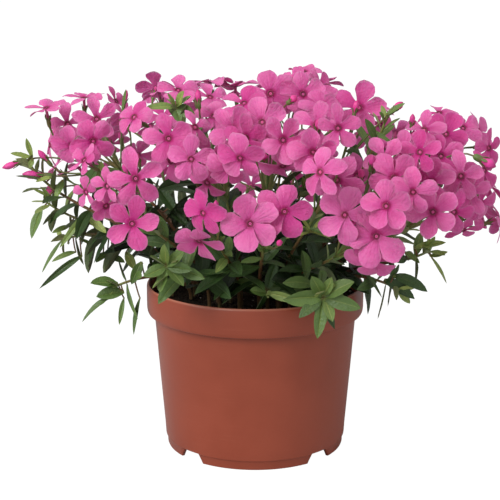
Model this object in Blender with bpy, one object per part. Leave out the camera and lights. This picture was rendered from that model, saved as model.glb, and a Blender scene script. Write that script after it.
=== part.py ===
"""A flowering phlox in a round nursery pot: pot, potting soil, leafy shoots and flower heads.

Metres, +Z up, the pot stands on z = 0 and the front is towards -Y.
"""
import math

import bpy
import numpy as np
from mathutils.bvhtree import BVHTree

mm = 0.001

# The pot, turned about Z: radius and height in millimetres, outside first, then the inside.
potOutside = [(48.4, 0), (49.2, 0.5), (49.5, 5.0), (50.2, 5.5), (50.6, 12), (55.6, 72), (55.9, 75.6),
              (59.0, 76.0), (59.8, 77.2), (60.0, 79.5), (59.9, 90.6), (59.5, 91.7), (59.0, 92.0)]
potInside = [(58.6, 91.6), (58.5, 78.4), (57.8, 77.3), (54.5, 76.9), (54.2, 72), (49.3, 12), (48.9, 8.4),
             (48.0, 7.2)]
potFloorUnder = 5.8
footInner = 47.2
potSides = 48
notchHeight = 5.7
notchHalfWidths = (8.4, 5.2)
drainHoleRadius = 3.5
drainHoleRing = 34.0

# The soil keeps this far from the pot, and every plant piece this far from what carries it.
restGap = 0.3
soilTop = 84.0
soilOutside = [(48.2, 9.0), (48.9, 12), (53.85, 72), (54.1, 76.4), (54.3, 77.8), (57.4, 78.3), (58.0, 79.2),
               (58.1, 82.6), (57.2, 84.0)]

# Where the plant is seen from: the eye's place in millimetres, its downward pitch in degrees, and the
# picture's focal length and half width in pixels.
eyePlace = (-2.84, -723.0, 275.8)
eyePitch = 12.95
focalPixels = 1345.0
halfPicture = 250.0

# The rounded crown of the plant: centre and half sizes of an ellipsoid, and the point that it grows from.
crownCentre = (0.4, 0.8, 126.5)
crownHalf = (134.0, 112.0, 76.0)
heart = (0.0, 0.0, 70.0)

# Each flower head's flowers as seen from the front: across and down in pixels, how far the face turns to
# the right and up in degrees, roll in degrees, radius in millimetres.
headsSeen = [
    [(67.5, 124, -14, 12, 8, 12.4), (96.5, 119, 4, 12, 80, 12.6), (93, 141, 0, -12, 30, 12),
     (46, 108, -35, 68, 0, 12), (84, 98, -8, 76, 20, 12.6), (50, 145, -68, 0, 40, 12),
     (116, 101, 62, 30, 0, 9), (72, 146, -22, -26, 0, 11.5)],
    [(135.5, 178.5, 0, 0, 85, 15.2), (84, 160, -58, 28, 0, 9.5), (106, 206, 24, -30, 0, 9),
     (86, 192, -46, -14, 10, 9), (107, 186, -36, -8, 0, 9.5), (132, 223.6, 2, -4, 54, 13.4)],
    [(156, 88, 168, 24, 0, 12), (178, 90, 4, 52, 0, 12), (134, 117, -44, 24, 0, 10.5),
     (163, 117, -12, 34, 30, 12.6), (168.5, 138.5, 0, 8, 12, 13), (195, 127, 28, 24, 0, 10.5),
     (210, 97, 18, 52, 0, 11.4)],
    [(191, 159, -4, -8, 0, 12.2), (210, 157, 12, -4, 20, 12.2), (171, 161, -18, -14, 40, 12),
     (233, 129.5, 10, 14, 40, 13), (246, 138, 24, 2, 0, 12), (229, 168, 10, -30, 0, 11.4),
     (214, 116, -6, 38, 0, 12)],
    [(207, 183, -24, -36, 0, 12), (203, 213, -40, -16, 0, 12.4), (199, 241, -14, -58, 54, 13)],
    [(270.5, 93.5, -2, 8, 90, 13), (244, 103, -14, 48, 0, 12.4), (303, 94, 14, 16, 0, 12.6),
     (304, 72, -24, 66, 0, 10.5), (320, 84, 58, 34, 0, 10.5), (291, 80, -48, 48, 0, 10.5),
     (322, 106, 26, 38, 0, 12)],
    [(262, 122, -6, 18, 14, 13), (283, 140, 10, 2, 40, 12), (258, 150, -2, -18, 0, 12),
     (283, 166, 8, -58, 20, 12.6), (240, 158, -16, -28, 0, 12), (302, 152, 20, -14, 0, 12)],
    [(316, 126, -6, 12, 60, 14), (338, 128, 22, 12, 0, 12.4), (313, 152, -4, -24, 0, 12)],
    [(337, 180, -4, -8, 34, 13.6), (320, 172, -32, -2, 0, 12.4), (357, 176, 30, -6, 0, 12)],
    [(359, 107.5, 0, 8, 58, 14.4), (380, 124, 34, 22, 0, 10)],
    [(394, 178, 0, -4, 30, 13.4), (404, 152, 12, 10, 0, 12.2), (384, 158, -14, -2, 30, 12),
     (413, 192, -6, -16, 0, 12)],
    [(439, 113, -4, 58, 18, 12), (424, 130, -18, 20, 0, 12.4), (446, 134, 2, 20, 40, 13),
     (463, 128, 22, 38, 0, 12), (478, 131, 62, 22, 0, 12), (441, 156, 0, 2, 10, 13),
     (489, 148, 52, -4, 0, 11.5), (420, 152, -20, 2, 0, 12)],
    [(461, 176, 10, 0, 70, 13.6), (433, 212, -4, -4, 20, 13.6), (454, 212, 6, -8, 50, 11.6),
     (480, 204, 48, -22, 0, 12), (463, 230, 18, -62, 0, 11), (432, 182, -12, 2, 0, 12.6),
     (470, 194, 22, -12, 0, 12), (484, 170, 42, 8, 0, 12)],
    [(250, 223.6, 0, -4, 92, 14.2), (284.5, 211.5, 6, 0, 60, 13.8)],
    [(344.7, 215, 0, -4, 52, 14.2), (376.3, 236.3, 2, -4, 20, 15.6), (372.2, 262, -4, -46, 90, 14),
     (386, 206, 12, 12, 0, 12.4)],
]

# Shoots that carry leaves only: the place of the tip across and down in pixels, and how far the tip lies
# in front of the pot's axis, in millimetres.
leafShootsSeen = [
    (27, 160, 10), (44, 200, -16), (62, 240, -30), (112, 288, 22), (172, 264, 72), (328, 296, 74),
    (268, 297, 62), (400, 290, 36), (430, 250, 26), (176, 106, 34), (387, 116, 40),
]
# Leaf shoots on the far side: direction round the pot in degrees, distance and height in millimetres.
rearLeafShoots = [(38, 96, 116), (92, 88, 110), (146, 98, 118)]

flowerTube = 11.0
pedicelRadius = 0.75
calyxRadius = 1.15
stemRadius = 1.1
knotRadius = 1.7
knotHeight = 2.2
# Bends that a stalk may take: how far it leaves straight at either end, its swing sideways, and the
# size, tube length and shift of its flower.
stalkBends = [(out, far, swing, share, tube, shift) for shift, tube, share in (
    (0, 11, 1.0), (0, 7, 1.0), (0, 7, 0.9), (-2, 7, 0.9), (2, 7, 0.9), (-4, 7, 0.9), (4, 7, 0.9), (-7, 5, 0.85),
    (7, 9, 0.9), (0, 5, 0.7), (-3, 5, 0.7), (3, 5, 0.7)) for out, far, swing in (
    (0.3, 0.34, 0.0), (0.5, 0.34, 0.0), (0.12, 0.2, 0.0), (0.3, 0.34, 0.14), (0.3, 0.34, -0.14),
    (0.3, 0.2, 0.28), (0.3, 0.2, -0.28))]

# Flower heads on the far side: direction round the crown and rise above its middle, in degrees.
rearHeadPlaces = [(8, 13), (44, 16), (84, 12), (124, 17), (148, 30), (58, 58), (122, 60)]

# Leaf pairs down a shoot: distance back from its tip and length of the leaves, in millimetres.
pairsUnderFlowers = [(7, 17), (22, 24), (40, 28), (60, 27), (82, 24)]
pairsOnTallShoots = [(1.5, 13), (7, 19), (14.5, 23)]
pairsOnLeafShoots = [(1.5, 12), (7, 19), (14.5, 24), (27, 28), (43, 28), (62, 26), (84, 24)]

headDepth = 34.0
slideSteps = [0, 1.5, -1.5, 3, -3, 5, -5, 7, -7, 9, 11, 13, 15, 18, -9, 21, 24, 28, -12, 32, 36, -15, 40, 45, -19]
baseTries = [(depth, aside) for depth in (0, -4, 4, -8, 8) for aside in (0, 5, -5, 10, -10)]
hubClear = 5.0
petalClear = 2.5
stalkClear = 1.4
dropBelow = -2.0
footTries = [(swing, pull, start, end) for start, end in ((0.42, 0.36), (0.55, 0.3), (0.3, 0.5), (0.7, 0.5))
             for pull in (1.0, 0.82, 0.62, 1.1, 0.4) for swing in (0, 7, -7, 14, -14, 22, -22, 32, -32, 45, -45)]
leafTries = [(shorter, lean, swing) for shorter in (1.0, 0.8, 0.6) for lean in (0, -14, 14, 26)
             for swing in (0, 18, -18)]
leafClear = 1.1
stemHalf = 0.85
leafThickness = 0.7
longestRun = 15.0

petalColor = (0.72, 0.08, 0.32)
leafColor = (0.09, 0.17, 0.03)
soilColor = (0.03, 0.02, 0.015)
potColor = (0.31, 0.085, 0.05)


def unit(v):
    """The same direction with a length of one."""
    return v / max(np.linalg.norm(v), 1e-9)


def sightRay(across, down):
    """Direction from the eye through a place in the picture."""
    pitch = math.radians(eyePitch)
    ahead = np.array([0.0, math.cos(pitch), -math.sin(pitch)])
    up = np.array([0.0, math.sin(pitch), math.cos(pitch)])
    right = np.array([1.0, 0.0, 0.0])
    ray = ahead + right * (across - halfPicture) / focalPixels + up * (halfPicture - down) / focalPixels
    return unit(ray)


def crownPoint(ray):
    """Where a sight line meets the front of the crown, or passes it nearest."""
    origin = (np.array(eyePlace) - crownCentre) / crownHalf
    scaled = ray / crownHalf
    a, b, c = scaled @ scaled, origin @ scaled, origin @ origin - 1.0
    along = (-b - math.sqrt(max(b * b - a * c, 0.0))) / a
    return np.array(eyePlace) + ray * along


def turned(v, axis, degrees):
    """v turned about a unit axis (Rodrigues' formula)."""
    t = math.radians(degrees)
    return v * math.cos(t) + np.cross(axis, v) * math.sin(t) + axis * (axis @ v) * (1 - math.cos(t))


def faceFrame(face, roll):
    """Two directions across a flower's face, rolled about it; the first is the first petal's."""
    side = unit(np.cross(np.array([0.0, 0.0, 1.0]) if abs(face[2]) < 0.95 else np.array([0.0, 1.0, 0.0]), face))
    first = turned(np.cross(face, side), face, roll)
    return first, np.cross(face, first)


def bezier(p0, p1, p2, p3, n):
    """n + 1 points of a cubic curve."""
    t = np.linspace(0, 1, n + 1)[:, None]
    return p0 * (1 - t) ** 3 + 3 * p1 * t * (1 - t) ** 2 + 3 * p2 * t * t * (1 - t) + p3 * t ** 3


class Room:
    """The places already taken by plant pieces, as loose points with a head's or shoot's number."""

    def __init__(self):
        self.points = np.zeros((0, 3))
        self.owners = np.zeros(0, int)
        self.radii = np.zeros(0)

    def gap(self, points, radius, skip=None):
        """Least free distance from these points to the taken ones of other owners."""
        low, high = points.min(0) - 8, points.max(0) + 8
        near = ((self.points > low) & (self.points < high)).all(1)
        if skip is not None:
            near &= ~np.isin(self.owners, skip)
        if not near.any():
            return 8.0
        d = np.linalg.norm(points[:, None] - self.points[near][None], axis=2) - self.radii[near][None] - radius
        return float(d.min())

    def take(self, points, radius, owner):
        self.points = np.vstack([self.points, points])
        self.owners = np.append(self.owners, np.full(len(points), owner))
        self.radii = np.append(self.radii, np.full(len(points), radius))


petalSamples = [(0.0, 0.0)]
for petal in range(5):
    for away, swing in ((0.36, 0), (0.68, -17), (0.68, 0), (0.68, 17), (1.0, -18), (1.0, 0), (1.0, 18)):
        angle = math.radians(72 * petal + swing)
        petalSamples.append((away * math.cos(angle), away * math.sin(angle)))
petalSamples = np.array(petalSamples)


def flowerSamples(centre, face, roll, radius):
    """Points all over a flower's petals."""
    first, second = faceFrame(face, roll)
    return centre + radius * (petalSamples[:, :1] * first + petalSamples[:, 1:] * second)


def pedicelPath(base, centre, face, n):
    """The stalk from the head's base to the back of the flower's tube."""
    foot = centre - face * flowerTube
    reach = np.linalg.norm(foot - base)
    return bezier(base, base + unit(centre - base) * 0.3 * reach, foot - face * 0.34 * reach, foot, n)


def rearHeads():
    """The flowers on the far side of the crown, which the picture doesn't show, in rosettes of seven."""
    heads = []
    for number, (azimuth, rise) in enumerate(rearHeadPlaces):
        flowers = []
        for k in range(7):
            swing = math.radians(60 * k + 31 * number)
            a = math.radians(azimuth + (13 if k else 0) * math.cos(swing) / math.cos(math.radians(rise)))
            e = math.radians(rise + (15 if k else 0) * math.sin(swing))
            out = np.array([math.cos(a) * math.cos(e), math.sin(a) * math.cos(e), math.sin(e)])
            place = np.array(crownCentre) + out * crownHalf
            face = unit(out / crownHalf * 100 + np.array([0, 0, 0.25]))
            face = turned(face, np.array([0.0, 0.0, 1.0]), 17 * math.cos(5 * k + number))
            flowers.append((place, face, 40 * k + 9 * number, 12.2 + 0.4 * (k % 3)))
        heads.append(flowers)
    return heads


def layFlowers(room):
    """Every flower: the head's number, centre, face, roll and radius, each slid along its own sight
    line, or outwards at the rear, until it is clear of those before it."""
    wanted = []
    for number, head in enumerate(headsSeen):
        for across, down, right, rise, roll, radius in head:
            ray = sightRay(across, down)
            face = turned(-ray, np.array([0.0, 0.0, 1.0]), right)
            side = unit(np.cross(face, np.array([0.0, 0.0, 1.0])))
            face = turned(face, side, rise)
            wanted.append((number, crownPoint(ray), face, roll, radius, ray, face @ -ray * radius))
    for number, head in enumerate(rearHeads(), len(headsSeen)):
        for place, face, roll, radius in head:
            wanted.append((number, place, face, roll, radius, -face, 0.0))
    bases = {}
    for number in range(len(headsSeen) + len(rearHeadPlaces)):
        middle = np.mean([w[1] for w in wanted if w[0] == number], axis=0)
        inward = unit(np.array(heart) - middle)
        across = unit(np.cross(inward, [0.0, 0.0, 1.0]))
        best = None
        for depth, aside in baseTries:
            base = middle + inward * (headDepth + depth) + across * aside
            hub = base - inward * np.linspace(-4, 6, 6)[:, None]
            free = room.gap(hub, 1.3) - hubClear
            if best is None or free > best[0]:
                best = (free, base, hub)
            if free >= 0:
                break
        if best[0] < 0:
            print("tight base", number, round(best[0], 2))
        bases[number] = best[1]
        room.take(best[2], 1.3, number + 500)
    flowers = []
    for number, place, face, roll, radius, slide, _ in sorted(wanted, key=lambda w: -w[6]):
        best = None
        for step in slideSteps:
            centre = place + slide * step
            petals = flowerSamples(centre, face, roll, radius)
            path = pedicelPath(bases[number], centre, face, 12)
            tube = centre - face * np.linspace(2.5, flowerTube, 5)[:, None]
            stalk = np.vstack([tube, path[8:], path[3:8]])
            free = min(room.gap(petals, 0.0) - petalClear, room.gap(stalk[:10], 0.9) - stalkClear,
                       room.gap(stalk[10:], 0.9, skip=[number + 500]) - stalkClear)
            if best is None or free > best[0]:
                best = (free, centre, petals, stalk)
            if free >= 0:
                break
        if best[0] < 0 and number >= len(headsSeen):
            continue
        if best[0] < 0:
            print("tight flower", number, np.round(place, 1), round(best[0], 2))
            if best[0] < dropBelow:
                continue
        room.take(best[2], 0.0, number)
        room.take(best[3], 0.9, number + 500)
        flowers.append((number, best[1], face, roll, radius))
    return flowers, bases


def seenPoint(across, down, forward):
    """The point on a sight line that lies this far in front of the pot's axis."""
    ray = sightRay(across, down)
    return np.array(eyePlace) + ray * ((-forward - eyePlace[1]) / ray[1])


def ringFrames(path, stations):
    """Centre, direction and two cross directions at distances along a curve, without twist."""
    steps = np.linalg.norm(np.diff(path, axis=0), axis=1)
    along = np.append(0.0, np.cumsum(steps))
    frames, across = [], None
    for station in stations:
        at = np.clip(station, 0, along[-1])
        k = min(np.searchsorted(along, at, side="right") - 1, len(steps) - 1)
        tangent = unit(path[k + 1] - path[k])
        centre = path[k] + tangent * (at - along[k])
        if across is None:
            across = np.cross(tangent, [0.6, 0.8, 0.1])
        across = unit(across - tangent * (across @ tangent))
        frames.append((centre, tangent, across, np.cross(tangent, across)))
    return frames


def leafPoints(leaf, s):
    """Middle line of a leaf at fractions of its length, and its upper side's direction there."""
    base, out, up, length, _, droop = leaf
    s = np.atleast_1d(s)[:, None]
    down = unit(np.array([0.0, 0.0, -1.0]) - up)
    middle = base + out * length * s + down * length * droop * s ** 2
    lead = out + down * 2 * droop * s
    lead /= np.linalg.norm(lead, axis=1)[:, None]
    top = up - lead * (lead @ up)[:, None]
    return middle, lead, top / np.linalg.norm(top, axis=1)[:, None]


def leafSamples(leaf):
    """Points along the middle and both edges of a leaf."""
    s = np.array([0.12, 0.2, 0.28, 0.36, 0.44, 0.52, 0.6, 0.68, 0.76, 0.84, 0.92, 1.0])
    middle, lead, top = leafPoints(leaf, s)
    half = leaf[4] * np.interp(s, [0, 0.32, 0.66, 1.0], [0.3, 0.95, 0.9, 0.0])[:, None]
    side = np.cross(top, lead)
    return np.vstack([middle + side * half * across for across in (-1, -0.5, 0, 0.5, 1)])


def clearOfPot(points, radius):
    """Whether points of a plant piece keep off the pot's wall and rim, and off the soil."""
    away, height = np.hypot(points[:, 0], points[:, 1]), points[:, 2]
    inWall = (height < 93.0 + radius) & (away > 57.0 - radius) & (away < 61.0 + radius)
    inSoil = (height < soilTop + 1.0 + radius) & (away < 58.5)
    return not (inWall | inSoil).any()


def leafShootPlans():
    """The shoots that carry leaves only: number, tip, direction at the tip and leaf pairs."""
    tips = [seenPoint(*seen) for seen in leafShootsSeen]
    for azimuth, away, height in rearLeafShoots:
        a = math.radians(azimuth)
        tips.append(np.array([math.cos(a) * away, math.sin(a) * away, height]))
    plans = []
    for k, tip in enumerate(tips):
        lift = -0.7 if tip[2] < 112 else 0.25 if tip[2] < 150 else 0.9
        pairs = pairsOnTallShoots if tip[2] > 165 else pairsOnLeafShoots
        plans.append((100 + k, tip, unit(unit(tip - np.array(heart)) + [0, 0, lift]), pairs))
    return plans


def flowerShootPlans(bases, flowers):
    """The shoots under the flower heads."""
    plans = []
    for number in sorted(bases):
        own = [f[1] for f in flowers if f[0] == number]
        toward = unit(np.mean(own, axis=0) - bases[number])
        plans.append((number, bases[number] - toward * restGap, toward, pairsUnderFlowers))
    return plans


def layShoots(room, plans):
    """Shoots from the soil to their tips: the path, the distances of the leaf pairs from the foot,
    and the leaves."""
    shoots = []
    for number, tip, toward, pairs in plans:
        best = None
        azimuth = math.atan2(tip[1], tip[0])
        away = min(46.0, 6.0 + 0.38 * math.hypot(tip[0], tip[1]))
        for swing, pull, start, end in footTries:
            a = azimuth + math.radians(swing)
            foot = np.array([math.cos(a) * away * pull, math.sin(a) * away * pull, soilTop + restGap])
            reach = np.linalg.norm(tip - foot)
            path = bezier(foot, foot + np.array([0, 0, start * reach]), tip - toward * end * reach, tip, 80)
            free = min(room.gap(path[:-1], stemRadius, skip=[number, number + 500]),
                       room.gap(path[:70], stemRadius)) - stalkClear
            if not clearOfPot(path[6:], stemRadius + 0.4):
                free -= 9.0
            if best is None or free > best[0]:
                best = (free, path)
            if free >= 0:
                break
        if best[0] < 0:
            print("tight stem", number, np.round(tip, 1), round(best[0], 2))
        path = best[1]
        room.take(path, stemRadius, 1000 + number)
        length = np.linalg.norm(np.diff(path, axis=0), axis=1).sum()
        shoots.append({"number": number, "path": path, "length": length, "pairs": pairs})
    for shoot in shoots:
        layLeaves(room, shoot)
    return shoots


def layLeaves(room, shoot):
    """Pairs of leaves up a shoot, each pair at right angles to the last. A leaf that would touch
    something is turned or shortened, and is left out where none of that helps."""
    levels = [(shoot["length"] - back, size) for back, size in shoot["pairs"] if shoot["length"] - back > 9]
    shoot["levels"] = sorted(levels)
    number, shoot["leaves"] = shoot["number"], []
    frames = ringFrames(shoot["path"], [station for station, _ in shoot["levels"]])
    for k, ((centre, tangent, across, over), (station, size)) in enumerate(zip(frames, shoot["levels"])):
        back = shoot["length"] - station
        spread = 38 + 32 * min(back / 40.0, 1.0)
        faces = [over, -across, -over, across]
        for f in ((0, 2) if k % 2 else (1, 3)):
            made = None
            for shorter, lean, swing in leafTries:
                out = turned(tangent, np.cross(tangent, faces[f]), spread + lean)
                out = turned(out, tangent, swing)
                up = unit(np.cross(np.cross(out, tangent), out))
                droop = 0.16 + 0.14 * ((number * 7 + k * 3 + f) % 5) / 4
                leaf = (centre + faces[f] * stemHalf, out, up, size * shorter, 0.115 * size + 0.3, droop)
                points = leafSamples(leaf)
                if clearOfPot(points, 0.8) and room.gap(points, 0.3, skip=[1000 + number]) > leafClear:
                    made = leaf
                    room.take(points, 0.3, 2000 + number)
                    break
            shoot["leaves"].append((k, f, made))


class Skin:
    """A closed surface grown from ring to ring."""

    def __init__(self):
        self.points = []
        self.faces = []

    def ring(self, corners):
        first = len(self.points)
        self.points.extend(np.asarray(corners, float).tolist())
        return list(range(first, first + len(corners)))

    def side(self, lower, upper, k):
        n = (k + 1) % len(lower)
        return [lower[k], lower[n], upper[n], upper[k]]

    def grow(self, lower, upper, leave=()):
        for k in range(len(lower)):
            if k not in leave:
                self.faces.append(self.side(lower, upper, k))

    def point(self, ring, tip):
        top = self.ring([tip])[0]
        for k in range(len(ring)):
            self.faces.append([ring[k], ring[(k + 1) % len(ring)], top])

    def place(self, name, color, roughness, smooth):
        mesh = bpy.data.meshes.new(name)
        mesh.from_pydata((np.array(self.points) * mm).tolist(), [], self.faces)
        mesh.validate()
        mesh.update()
        return placed(name, mesh, color, roughness, smooth)


def placed(name, mesh, color, roughness, smooth=False):
    """An object with its own material, in the scene."""
    material = bpy.data.materials.new(name)
    material.use_nodes = True
    shader = material.node_tree.nodes["Principled BSDF"]
    shader.inputs["Base Color"].default_value = (*color, 1.0)
    shader.inputs["Roughness"].default_value = roughness
    shader.inputs["Metallic"].default_value = 0.0
    mesh.materials.append(material)
    if smooth:
        mesh.shade_smooth()
    obj = bpy.data.objects.new(name, mesh)
    bpy.context.scene.collection.objects.link(obj)
    return obj


def square(centre, across, over, half):
    """Four corners about a centre, in the order that the Skin's faces need."""
    return [centre + half * (across * x + over * y) for x, y in ((1, 1), (-1, 1), (-1, -1), (1, -1))]


def growLeaf(skin, start, leaf):
    """A leaf's flat blade, from the side of its stem to its tip."""
    middle, lead, top = leafPoints(leaf, np.array([0.32, 0.66, 1.0]))
    ring = start
    for k, share in enumerate((0.95, 0.9)):
        side = np.cross(top[k], lead[k]) * leaf[4] * share
        thick = top[k] * leafThickness / 2
        corners = [middle[k] - side - thick, middle[k] + side - thick,
                   middle[k] + side + thick, middle[k] - side + thick]
        after = skin.ring(orderedLike(skin, ring, corners))
        skin.grow(ring, after)
        ring = after
    skin.point(ring, middle[2])


def orderedLike(skin, ring, corners):
    """The same corners, started where they lie nearest to the ring before."""
    before = np.array([skin.points[i] for i in ring])
    before = before - before.mean(0)
    new = np.array(corners)
    centred = new - new.mean(0)
    fits = [(np.roll(centred, -k, axis=0) * before).sum() for k in range(4)]
    return np.roll(new, -int(np.argmax(fits)), axis=0)


def growFlower(skin, start, middle, flower, others):
    """A flower: stalk, calyx and tube, then five petals round the throat. The stalk takes the first
    of a few bends that keeps it clear of the rest of its head and of the other pieces."""
    points, faces = list(skin.points), list(skin.faces)
    old = BVHTree.FromPolygons(points, faces)
    best = None
    for bend in stalkBends:
        skin.points, skin.faces = list(points), list(faces)
        shapeFlower(skin, start, middle, flower, bend)
        new = skin.faces[len(faces):]
        grown = BVHTree.FromPolygons(skin.points, new)
        crossed = sum(not set(new[i]) & set(faces[j]) for i, j in grown.overlap(old))
        crossed += sum(not set(new[i]) & set(new[j]) for i, j in grown.overlap(grown) if i < j)
        crossed += sum(len(grown.overlap(other)) for other in others)
        if best is None or crossed < best[0]:
            best = (crossed, skin.points, skin.faces)
        if not crossed:
            break
    if best[0]:
        print("crossed flower", np.round(flower[1], 1), best[0])
    skin.points, skin.faces = best[1:]


def shapeFlower(skin, start, middle, flower, bend):
    """The faces of one flower, its stalk leaving the knot straight and swung sideways by the bend."""
    out, far, swing, share, tube, shift = bend
    _, centre, face, roll, radius = flower
    centre = centre + face * shift
    corners = np.array([skin.points[i] for i in start])
    away = unit(np.cross(corners[2] - corners[0], corners[3] - corners[1]))
    foot = centre - face * tube
    reach = np.linalg.norm(foot - middle)
    aside = unit(np.cross(away, face) + 1e-6) * swing * reach
    path = bezier(middle, middle + away * out * reach + aside, foot - face * far * reach + aside, foot, 12)
    n = len(path) - 1
    stations = [(path[k], unit(path[k + 1] - path[k - 1]), pedicelRadius) for k in (n // 3, 2 * n // 3)]
    stations += [(path[n], face, calyxRadius), (centre - face * 2.2, face, 0.95)]
    ring, across = start, corners[1] - corners[0]
    for place, lead, half in stations:
        across = unit(across - lead * (across @ lead))
        after = skin.ring(orderedLike(skin, ring, square(place, across, np.cross(lead, across), half * 0.8)))
        skin.grow(ring, after)
        ring = after
    first, second = faceFrame(face, roll)
    outline = []
    for petal in range(5):
        for wide, turn in ((1.0, -19), (1.0, 19), (0.42, 36)):
            a = math.radians(72 * petal + turn)
            outline.append(centre + radius * share * wide * (first * math.cos(a) + second * math.sin(a)))
    rim = skin.ring(outline)
    zipRings(skin, ring, rim, first, second, centre)
    skin.point(rim, centre - face * 0.5)


def zipRings(skin, inner, outer, first, second, centre):
    """Faces between two rings with different numbers of corners, paired by their direction."""
    def angle(i):
        v = np.array(skin.points[i]) - centre
        return math.atan2(v @ second, v @ first)
    inner = sorted(inner, key=angle)
    outer = sorted(outer, key=angle)
    spots = sorted([(angle(i), 0, k) for k, i in enumerate(inner)] + [(angle(o), 1, k) for k, o in enumerate(outer)])
    a, b = len(inner) - 1, len(outer) - 1
    for _, kind, k in spots:
        if kind == 0:
            skin.faces.append([inner[a], inner[k], outer[b]])
            a = k
        else:
            skin.faces.append([inner[a], outer[k], outer[b]])
            b = k


def flowerHead(number, base, flowers, others):
    """One head: a small knot with a side for each flower's stalk, and one more on its top."""
    toward = unit(np.mean([f[1] for f in flowers], axis=0) - base)
    first, second = faceFrame(toward, 0.0)
    outs = [unit(f[1] - base) for f in flowers]
    top = max(range(len(flowers)), key=lambda k: outs[k] @ toward)
    around = sorted((math.atan2(outs[k] @ second, outs[k] @ first), k) for k in range(len(flowers)) if k != top)
    sides = max(4, len(around))
    turn = 2 * math.pi / sides
    offset = np.mean([a - turn * j for j, (a, _) in enumerate(around)]) - turn / 2
    corners = offset + turn * np.arange(sides)
    ring = knotRadius * (np.cos(corners)[:, None] * first + np.sin(corners)[:, None] * second)
    skin = Skin()
    lower = skin.ring(base + ring * 0.9)
    upper = skin.ring(base + ring + toward * knotHeight)
    crown = skin.ring(square(base + toward * (knotHeight + 0.9), first, second, 0.7))
    skin.faces.append(lower[::-1])
    skin.grow(lower, upper, range(len(around)))
    zipRings(skin, upper, crown, first, second, base)
    starts = [(skin.side(lower, upper, j), k) for j, (_, k) in enumerate(around)] + [(crown, top)]
    for start, k in starts:
        growFlower(skin, start, np.mean([skin.points[i] for i in start], axis=0), flowers[k], others)
    skin.place(f"flower_head_{number + 1:02d}", petalColor, 0.55, False)
    others.append(BVHTree.FromPolygons(skin.points, skin.faces))


def leafyShoot(name, shoot, others):
    """A stem with its pairs of leaves, grown as one piece."""
    skin = Skin()
    marks = [(0.0, None)]
    for level, (station, _) in enumerate(shoot["levels"]):
        marks += [(station - 0.8, level), (station + 0.8, None)]
    if shoot["length"] - marks[-1][0] > 0.4:
        marks.append((shoot["length"], None))
    stations = []
    for (station, level), (after, _) in zip(marks, marks[1:] + [(marks[-1][0], None)]):
        parts = 1 + int((after - station) / longestRun)
        stations += [(station + (after - station) * j / parts, level if j == 0 else None) for j in range(parts)]
    frames = ringFrames(shoot["path"], [station for station, _ in stations])
    rings = [skin.ring(square(c, x, y, stemHalf)) for c, _, x, y in frames]
    skin.faces.append(rings[0][::-1])
    leaves = {(k, f): leaf for k, f, leaf in shoot["leaves"] if leaf}
    for k in range(len(rings) - 1):
        level = stations[k][1]
        taken = [f for f in range(4) if level is not None and (level, f) in leaves]
        skin.grow(rings[k], rings[k + 1], taken)
        for f in taken:
            growLeaf(skin, skin.side(rings[k], rings[k + 1], f), leaves[(level, f)])
    skin.faces.append(rings[-1])
    skin.place(name, leafColor, 0.5, False)
    others.append(BVHTree.FromPolygons(skin.points, skin.faces))


def turnedBody(name, profile, color, roughness):
    """A closed body of revolution from a profile that starts and ends on the Z axis."""
    skin = Skin()
    angles = np.arange(potSides) * 2 * math.pi / potSides
    rings = []
    for radius, height in profile[1:-1]:
        rings.append(skin.ring(np.stack([radius * np.cos(angles), radius * np.sin(angles),
                                         np.full(potSides, float(height))], axis=1)))
    skin.point(rings[0][::-1], (0, 0, profile[0][1]))
    for lower, upper in zip(rings, rings[1:]):
        skin.grow(lower, upper)
    skin.point(rings[-1], (0, 0, profile[-1][1]))
    return skin.place(name, color, roughness, True)


def prism(skin, lower, upper):
    """A closed block between two rings of corners."""
    bottom, top = skin.ring(lower), skin.ring(upper)
    skin.faces.append(bottom[::-1])
    skin.grow(bottom, top)
    skin.faces.append(top)


def makePot():
    """The pot, with four notches under its foot and four drain holes in its floor."""
    profile = [(0, potFloorUnder), (footInner, potFloorUnder), (footInner, 0)]
    profile += potOutside + potInside + [(0, potInside[-1][1])]
    pot = turnedBody("pot", profile, potColor, 0.42)
    skin = Skin()
    for k in range(4):
        middle = math.radians(45 + 90 * k)
        out = np.array([math.cos(middle), math.sin(middle), 0.0])
        side = np.array([-out[1], out[0], 0.0])
        low, high = [[out * away + side * across * half + [0, 0, height]
                      for away, across in ((44, -1), (54, -1), (54, 1), (44, 1))]
                     for half, height in zip(notchHalfWidths, (-1.0, notchHeight))]
        prism(skin, low, high)
        angles = np.radians(np.arange(12) * 30 + 7.0)
        centre = drainHoleRing * np.array([math.cos(middle + 0.83), math.sin(middle + 0.83)])
        hole = centre + drainHoleRadius * np.stack([np.cos(angles), np.sin(angles)], axis=1)
        prism(skin, *[np.column_stack([hole, np.full(12, height)]) for height in (4.0, 9.0)])
    cuts = skin.place("pot_cuts", potColor, 0.5, False)
    cuts.hide_render = True
    cuts.display_type = "WIRE"
    modifier = pot.modifiers.new("notches and drain holes", "BOOLEAN")
    modifier.operation = "DIFFERENCE"
    modifier.solver = "EXACT"
    modifier.object = cuts


def main():
    for obj in list(bpy.data.objects):
        bpy.data.objects.remove(obj, do_unlink=True)
    makePot()
    soil = [(0, soilOutside[0][1])] + soilOutside + [(0, soilTop)]
    turnedBody("potting_soil", soil, soilColor, 0.95)
    room = Room()
    plans = leafShootPlans()
    early = [plan for plan in plans if plan[1][2] > 150]
    shoots = layShoots(room, early)
    flowers, bases = layFlowers(room)
    late = [plan for plan in plans if plan[1][2] <= 150]
    shoots += layShoots(room, flowerShootPlans(bases, flowers) + late)
    others = []
    for shoot in shoots:
        k = shoot["number"]
        leafyShoot(f"flowering_shoot_{k + 1:02d}" if k < 100 else f"leaf_shoot_{k - 99:02d}", shoot, others)
    for number in sorted(bases):
        flowerHead(number, bases[number], [f for f in flowers if f[0] == number], others)


main()
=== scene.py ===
import math

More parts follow.
